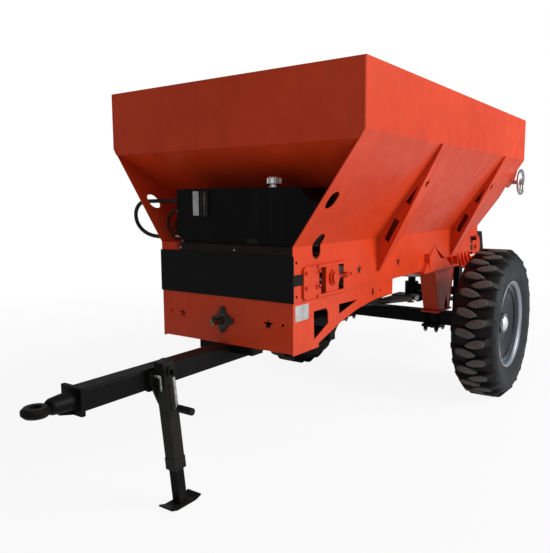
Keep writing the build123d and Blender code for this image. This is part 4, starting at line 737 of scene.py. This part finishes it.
def oval_link(name, wire, width, length, around, sides):
    """One round-wire link in the XZ plane: the wire's radius, and the link's outer sizes."""
    sections = []
    for i in range(around):
        turn = 2 * pi * i / around
        out = Vector((cos(turn), 0, sin(turn)))
        centre = out * (width / 2 - wire)
        centre.z += (length - width) / 2 * (1 if sin(turn) >= 0 else -1)
        ring = [2 * pi * k / sides for k in range(sides)]
        sections.append([centre + (out * cos(a) + Vector(LEFT) * sin(a)) * wire for a in ring])
    return skinned(name, sections + sections[:1], closed=False)


SAG, STEPS = 0.17, 16
start, end = jack(44, 14, 686), jack(34, 8, 640)
shares = [i / STEPS for i in range(STEPS + 1)]
hang = [start.lerp(end, share) - Vector((0, 0, SAG * share * (1 - share))) for share in shares]
fine_link = oval_link("fine_link", 0.0012, 0.0078, 0.0125, 14, 7)
chain = links.stamped("pin_chain", fine_link, paths(hang), Count=18, Material=zinc.material)
piece("jack_pin", joined("jack_pin", [pin, chain]), zinc, "jack")
GLAND = ((0.0095, 0.0), (0.0215, 0.0), (0.0215, 0.004), (0.0200, 0.006), (0.0095, 0.006), (0.0095, 0.0))
gland = turned_mesh("crank_gland", GLAND, jack(0, 42, 708), LEFT, 32)
piece("crank_gland", gland, jack_paint, "jack")

# ---- conveyor chains ---------------------------------------------------------------------
# Two endless chains of 8 mm round steel run over the sprockets. They are laid link by link,
# every second one on edge, and carry chamfered flat slats that are bolted across them.
WRAP, CHAIN_RADIUS, LINK_PITCH, CHAINS_Y = 6, 65, 32, (-320, 320)
SLAT_RADIUS, SLAT_PITCH, SLAT_ENDS_Y, SLAT_TOP, FIRST_SLAT = 77, 240, (-420, 420), 6, 0.3
SHORT_RUN = 80
SLAT = ((20, -4), (20, 4), (18, 6), (-18, 6), (-20, 4), (-20, -4), (-18, -6), (18, -6))


def chain_loop(radius):
    """Corners of a loop whose short runs lie flat on sprockets of that radius."""
    corners = []
    for x, first in zip(SHAFTS, (pi / 2, -pi / 2)):
        turns = [first - pi / WRAP * (i + 0.5) for i in range(WRAP)]
        reach = radius / cos(pi / WRAP / 2)
        corners += [Vector((x + reach * cos(a), 0, SHAFT_Z + reach * sin(a))) for a in turns]
    return corners


def along_loop(runs, way):
    """The middle, direction and outward normal of a slat this far round the loop.

    On a sprocket's short runs a slat lies at the run's middle.
    """
    for a, b in runs:
        run = (b - a).length
        if way < run:
            break
        way -= run
    along = (b - a).normalized()
    centre = a + along * (run / 2 if run < SHORT_RUN else way)
    shaft = Vector((min(max(centre.x, SHAFTS[1]), SHAFTS[0]), 0, SHAFT_Z))
    out = Vector((-along.z, 0, along.x))
    return centre, along, out if (centre - shaft).dot(out) > 0 else -out


corners = chain_loop(CHAIN_RADIUS)
corners.append(corners[0] + (corners[-1] - corners[0]).normalized() * LINK_PITCH)
count = round(sum((b - a).length for a, b in zip(corners, corners[1:])) / LINK_PITCH) + 1
round_link = oval_link("round_link", 0.004, 0.021, 0.048, 12, 6)
loops = [links.stamped("chain", round_link, paths([at(p.x, y, p.z) for p in corners]), Count=count,
                       Material=scoured.material) for y in CHAINS_Y]
corners = chain_loop(SLAT_RADIUS)
runs = list(zip(corners, corners[1:] + corners[:1]))
total = sum((b - a).length for a, b in runs)
slats = round(total / SLAT_PITCH)
nuts = []
for i in range(slats):
    centre, along, out = along_loop(runs, (i + FIRST_SLAT) * total / slats)
    section = [centre + along * u + out * v for u, v in SLAT]
    loops.append(skinned("slat", [[at(p.x, y, p.z) for p in section] for y in SLAT_ENDS_Y]))
    top = centre + out * SLAT_TOP
    nuts += [(top.x, y + step, top.z, out, 0.8) for y in CHAINS_Y for step in (-22, 22)]
piece("conveyor_chain_dressed", joined("chains", loops), scoured,
      instead_of="conveyor_chain")
bolts("slat_bolts", nuts, scoured)

# ---- wheels ------------------------------------------------------------------------------
# Farm tyres with two staggered rows of tapered lugs, on pressed silver rims. The rubber is
# grey-brown with dry soil on the lugs' tops; the wheel disc is dark blue-grey.
tyre_rubber = Finish("tyre_rubber", Specular_IOR_Level=0.25)
rim_paint = Finish("rim_enamel", Coat_Weight=0.04, Coat_Roughness=0.18, Specular_IOR_Level=0.2)
hub_paint = Finish("hub_enamel", Coat_Weight=0.15, Coat_Roughness=0.2)
wheel_low, wheel_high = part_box("tyre_left")
hub = (wheel_low + wheel_high) / 2
TYRE_RADIUS, LUGS, SLANT, WHEEL_NUTS, NUT_RADIUS = 0.560, 24, 0.19, 6, 0.067

# in millimetres: a lug's top and foot as (along, across), and the carcass as (radius, half width)
LUG_HALF_WIDTH, LUG_HALF_LENGTH = 34, 70
LUG_TOP = ((0, -42), (31, 8), (27, 98), (-17, 98), (-33, 52), (-24, -4))
LUG_FOOT = ((0, -64), (45, 0), (40, 154), (-30, 154), (-47, 54), (-38, -14))
CARCASS = ((305.3, 107), (318, 116), (331, 127), (338, 136), (346, 140), (353, 139), (357, 141), (372, 149),
           (392, 156), (415, 160), (440, 160), (462, 158), (465, 160), (471, 160), (474, 157), (487, 152),
           (500, 147), (510, 134), (518, 112), (522, 80), (524, 40), (524.5, 0))
# each lug section: radius, share of the way from the top's outline to the foot's, and inset
LUG_LEVELS = ((498, 1.03, 0), (525, 0.58, 0), (548, 0.2, 0), (556, 0.06, 0), (559.2, 0, 1.5), (560.5, 0, 4.5))
# in metres, as (radius, height): a wheel nut's seat, the nut itself, and a valve
NUT_SEAT = ((0, 0.0795), (0.0120, 0.0795), (0.0108, 0.0835), (0, 0.0835))
NUT = ((0, 0.083), (0.0096, 0.083), (0.0104, 0.0845), (0.0104, 0.0925), (0.0092, 0.0945), (0, 0.0945))
VALVE = ((0, 0.0), (0.0055, 0.0), (0.0055, 0.018), (0.0040, 0.020), (0.0040, 0.034),
         (0.0048, 0.035), (0.0048, 0.044), (0, 0.046))


def rounded(outline):
    """The outline with each corner cut to two, 22% of the way along its edges."""
    points = [Vector(point) for point in outline]
    return [point.lerp(points[(i + step) % len(points)], 0.22)
            for i, point in enumerate(points) for step in (-1, 1)]


def lug_mesh(row):
    """One lug beside the axle's line, pointing forwards; row is 1 outside and -1 inside."""
    sections = []
    for radius, blend, inset in LUG_LEVELS:
        outline = [top.lerp(foot, blend) for top, foot in zip(rounded(LUG_TOP), rounded(LUG_FOOT))]
        middle = sum(point.y for point in outline) / len(outline)
        section = []
        for point in outline:
            across = middle + (point.y - middle) * (1 - inset / LUG_HALF_LENGTH)
            along = point.x * (1 - inset / LUG_HALF_WIDTH) - SLANT * across
            section.append(Vector((sqrt(radius ** 2 - along ** 2), row * across, -along)) / 1000)
        sections.append(section)
    return skinned("lug", sections)


ring = Growth("ring", Piece="Object", Count="Int", Start="Float", Centre="Vector")
points = ring.node("GeometryNodePoints", {}, {"Count": ring.given["Count"]})
turns = ring.node("GeometryNodeInputIndex") * (2 * pi) / ring.given["Count"] + ring.given["Start"]
around = ring.node("FunctionNodeAxisAngleToRotation", {}, {"Axis": LEFT, "Angle": turns})
ring.ends(ring.node("GeometryNodeTransform", {}, {
    "Geometry": ring.copies(points, around), "Translation": ring.given["Centre"]}))


def ringed(name, pattern, count, start, centre, finish):
    """Copies of one mesh round the Y axis, moved to the wheel's centre."""
    return ring.stamped(name, pattern, bpy.data.meshes.new(name), Count=count, Start=start,
                        Centre=centre, Material=finish.material)


def radius_of(finish):
    """Distance from the axle's line."""
    x, _, z = finish.split(finish.place)
    across = (x - hub.x) ** 2.0 + (z - hub.z) ** 2.0
    return finish.node("ShaderNodeMath", {"operation": "SQRT"}, {0: across})


distance = radius_of(tyre_rubber)
soil = tyre_rubber.noise(60.0, 5.0).between(0.3, 0.7)
tops = distance.between(TYRE_RADIUS - 0.006, TYRE_RADIUS - 0.003)
walls = tyre_rubber.noise(7.0, 4.0).between(0.35, 0.7)
tone = tyre_rubber.mix(walls, (0.0065, 0.0078, 0.0100), (0.0145, 0.0170, 0.0215))
# between the lugs, down at their roots, the rubber is darkened nearly black as painted shade
lug_root_shade = (1 - distance.between(TYRE_RADIUS - 0.03, TYRE_RADIUS - 0.006)) * distance.between(0.49, 0.515)
tone = tyre_rubber.mix(lug_root_shade * 0.85, tone, (0.0035, 0.0035, 0.004))
tone = tyre_rubber.mix(tops * (soil * 0.4 + 0.6), tone, (0.118, 0.114, 0.106))
ridges = tyre_rubber.node("ShaderNodeMath", {"operation": "SINE"}, {0: distance * 900.0})
ridges = ridges * (1 - distance.between(0.46, 0.47))
tyre_rubber.feed("Base Color", tone).feed("Roughness", tops * 0.25 + soil * 0.12 + 0.5)
tyre_rubber.relief(tyre_rubber.noise(240.0, 3.0) + ridges * 0.25, 0.0008)

distance = radius_of(rim_paint)
silver = distance.between(0.268, 0.274)
# the flange's lip is painted a lighter silver than the rest of the ring, as a painted highlight
edge = distance.between(0.309, 0.312)
tone = rim_paint.mix(silver, (0.009, 0.012, 0.019), (0.15, 0.17, 0.205))
tone = rim_paint.mix(edge, tone, (0.38, 0.41, 0.46))
haze = rim_paint.noise(16.0, 4.0).between(0.35, 0.7)
tone = rim_paint.mix(haze * 0.10, tone, (0.12, 0.115, 0.11))
rim_paint.feed("Base Color", tone).feed("Metallic", silver * 0.5)
rim_paint.feed("Roughness", haze * 0.2 + 0.3)
rim_paint.relief(rim_paint.noise(200.0, 2.0), 0.0004)
rim_paint.on("rim_left", "rim_right")

out = hub_paint.node("ShaderNodeMath", {"operation": "ABSOLUTE"}, {0: hub_paint.split(hub_paint.place)[1]})
cap = (out - hub.y).between(0.081, 0.083)
tone = hub_paint.mix(cap, (0.010, 0.010, 0.012), (0.74, 0.75, 0.77))
haze = hub_paint.noise(30.0, 4.0).between(0.35, 0.7)
hub_paint.feed("Base Color", hub_paint.mix(haze * 0.15, tone, (0.16, 0.14, 0.12)))
hub_paint.feed("Metallic", cap * 0.9).feed("Roughness", haze * 0.2 + cap * 0.12 + 0.28)
hub_paint.relief(hub_paint.noise(220.0, 2.0), 0.0003)
hub_paint.on("hub_left", "hub_right")

half = [(radius / 1000, width / 1000) for radius, width in CARCASS]
profile = [(radius, -width) for radius, width in half[:-1]] + half[::-1]
nut_place = (NUT_RADIUS, 0, 0)
nut = joined("wheel_nut", [turned_mesh("seat", NUT_SEAT, nut_place, LEFT, 20),
                           turned_mesh("nut", NUT, nut_place, LEFT, 6)])
stem = turned_mesh("valve", VALVE, (0.279, 0.094, 0), (-0.35, 1, 0), 16)
for hand, side in ((1, "left"), (-1, "right")):
    centre = Vector((hub.x, hand * hub.y, hub.z))
    carcass = turned_mesh("carcass", profile + profile[:1], centre, (0, hand, 0), 120)
    rows = [ringed("lugs", lug_mesh(hand * row), LUGS, start, centre, tyre_rubber)
            for row, start in ((1, pi / LUGS), (-1, 0.0))]
    piece(f"tyre_{side}_dressed", joined("tyre", [carcass, *rows]), tyre_rubber, f"wheel_{side}",
          f"tyre_{side}")
    if side == "right":
        for mesh in (nut, stem):
            mesh.transform(Matrix.Scale(-1, 4, LEFT))
    nuts = ringed("wheel_nuts", nut, WHEEL_NUTS, 0.0, centre, zinc)
    valve = ringed("valve", stem, 1, radians(68), centre, zinc)
    piece(f"wheel_nuts_{side}", joined("wheel_nuts", [nuts, valve]), zinc, f"wheel_{side}")

# ---- floor and light ---------------------------------------------------------------------
# A white floor that keeps a soft shadow, and broad soft lights: the strong one from the
# machine's left, weaker ones from above and from in front. Far off, the floor turns white.
HALF_FLOOR, FADE_START, FADE_END, SKY_LIGHT = 30, 2.5, 7.0, 0.28
ground = Finish("studio_floor", Roughness=0.9, Specular_IOR_Level=0.0)
ground.feed("Base Color", ground.mix(ground.noise(0.4, 2.0), (0.80, 0.80, 0.80), (0.84, 0.84, 0.84)))
x, y = ground.split(ground.place)[:2]
distance = ground.node("ShaderNodeMath", {"operation": "SQRT"}, {0: x ** 2.0 + y ** 2.0})
away = distance.between(FADE_START, FADE_END)
seen = ground.node("ShaderNodeLightPath") * (away * 0.1 + 0.9)
paint = Value(ground, ground.shader.outputs[0])
glow = ground.node("ShaderNodeEmission", {}, {"Color": (1, 1, 1, 1), "Strength": 1.0})
blend = ground.node("ShaderNodeMixShader", {}, {0: seen, 1: paint, 2: glow})
ground.tree.links.new(blend.socket, ground.tree.nodes["Material Output"].inputs[0])
floor_mesh = bpy.data.meshes.new("floor")
corners = [(HALF_FLOOR * x, HALF_FLOOR * y, 0) for x, y in ((-1, -1), (1, -1), (1, 1), (-1, 1))]
floor_mesh.from_pydata(corners, [], [range(4)])
floor = link(bpy.data.objects.new("floor", floor_mesh))
ground.on(floor)

world = bpy.data.worlds.new("studio")
bpy.context.scene.world = world
world.use_nodes = True
air = Net(world.node_tree)
strength = air.node("ShaderNodeLightPath") * (1 - SKY_LIGHT) + SKY_LIGHT
air.tree.nodes["Background"].inputs[0].default_value = (1, 1, 1, 1)
air.tree.links.new(strength.socket, air.tree.nodes["Background"].inputs[1])

middle = Vector((0, 0, 1.1))
for name, place, size, power in (("left_light", (-2.0, 7.2, 4.0), 5.0, 580.0),
                                 ("top_light", (0.5, 1.5, 7.0), 5.0, 40.0),
                                 ("front_light", (7.5, 0.5, 2.4), 4.0, 22.0)):
    lamp = bpy.data.lights.new(name, "AREA")
    lamp.shape, lamp.size, lamp.energy = "SQUARE", size, power
    light = link(bpy.data.objects.new(name, lamp))
    light.location = place
    light.rotation_euler = (middle - Vector(place)).to_track_quat("-Z", "Y").to_euler()

# ---- hose ends ---------------------------------------------------------------------------
# The hoses' crimped ends come last: a ferrule and a hexagon nut at each end of each hose.
def crimp(name, end, inward, radius):
    """A crimped ferrule over the hose's end, and the hexagon nut that holds it on the boss."""
    inner, over, corner = radius + 0.0002, radius + 0.004, radius + 0.007
    ring = [(inner, 0.0), (over - 0.001, 0.002), (over, 0.006)]
    for i in range(4):
        start = 0.009 + i * 0.007
        ring += [(over, start), (over - 0.0012, start + 0.0025), (over, start + 0.005)]
    ring += [(over - 0.001, 0.041), (inner, 0.043)]
    nut = [(0, -0.0115), (over, -0.0115), (corner, -0.009), (corner, -0.002), (over, 0.001), (0, 0.001)]
    return joined(name, [turned_mesh(name, ring, end, inward, 28), turned_mesh(name, nut, end, inward, 6)])


for name, (line, points, length, radius) in hose_runs.items():
    ends = [piece(f"{name}_end_{i}", crimp(name, spot, nearby - spot, radius), zinc, "frame")
            for i, (spot, nearby) in enumerate(((points[0], points[1]), (points[-1], points[-2])))]
    2 * radius
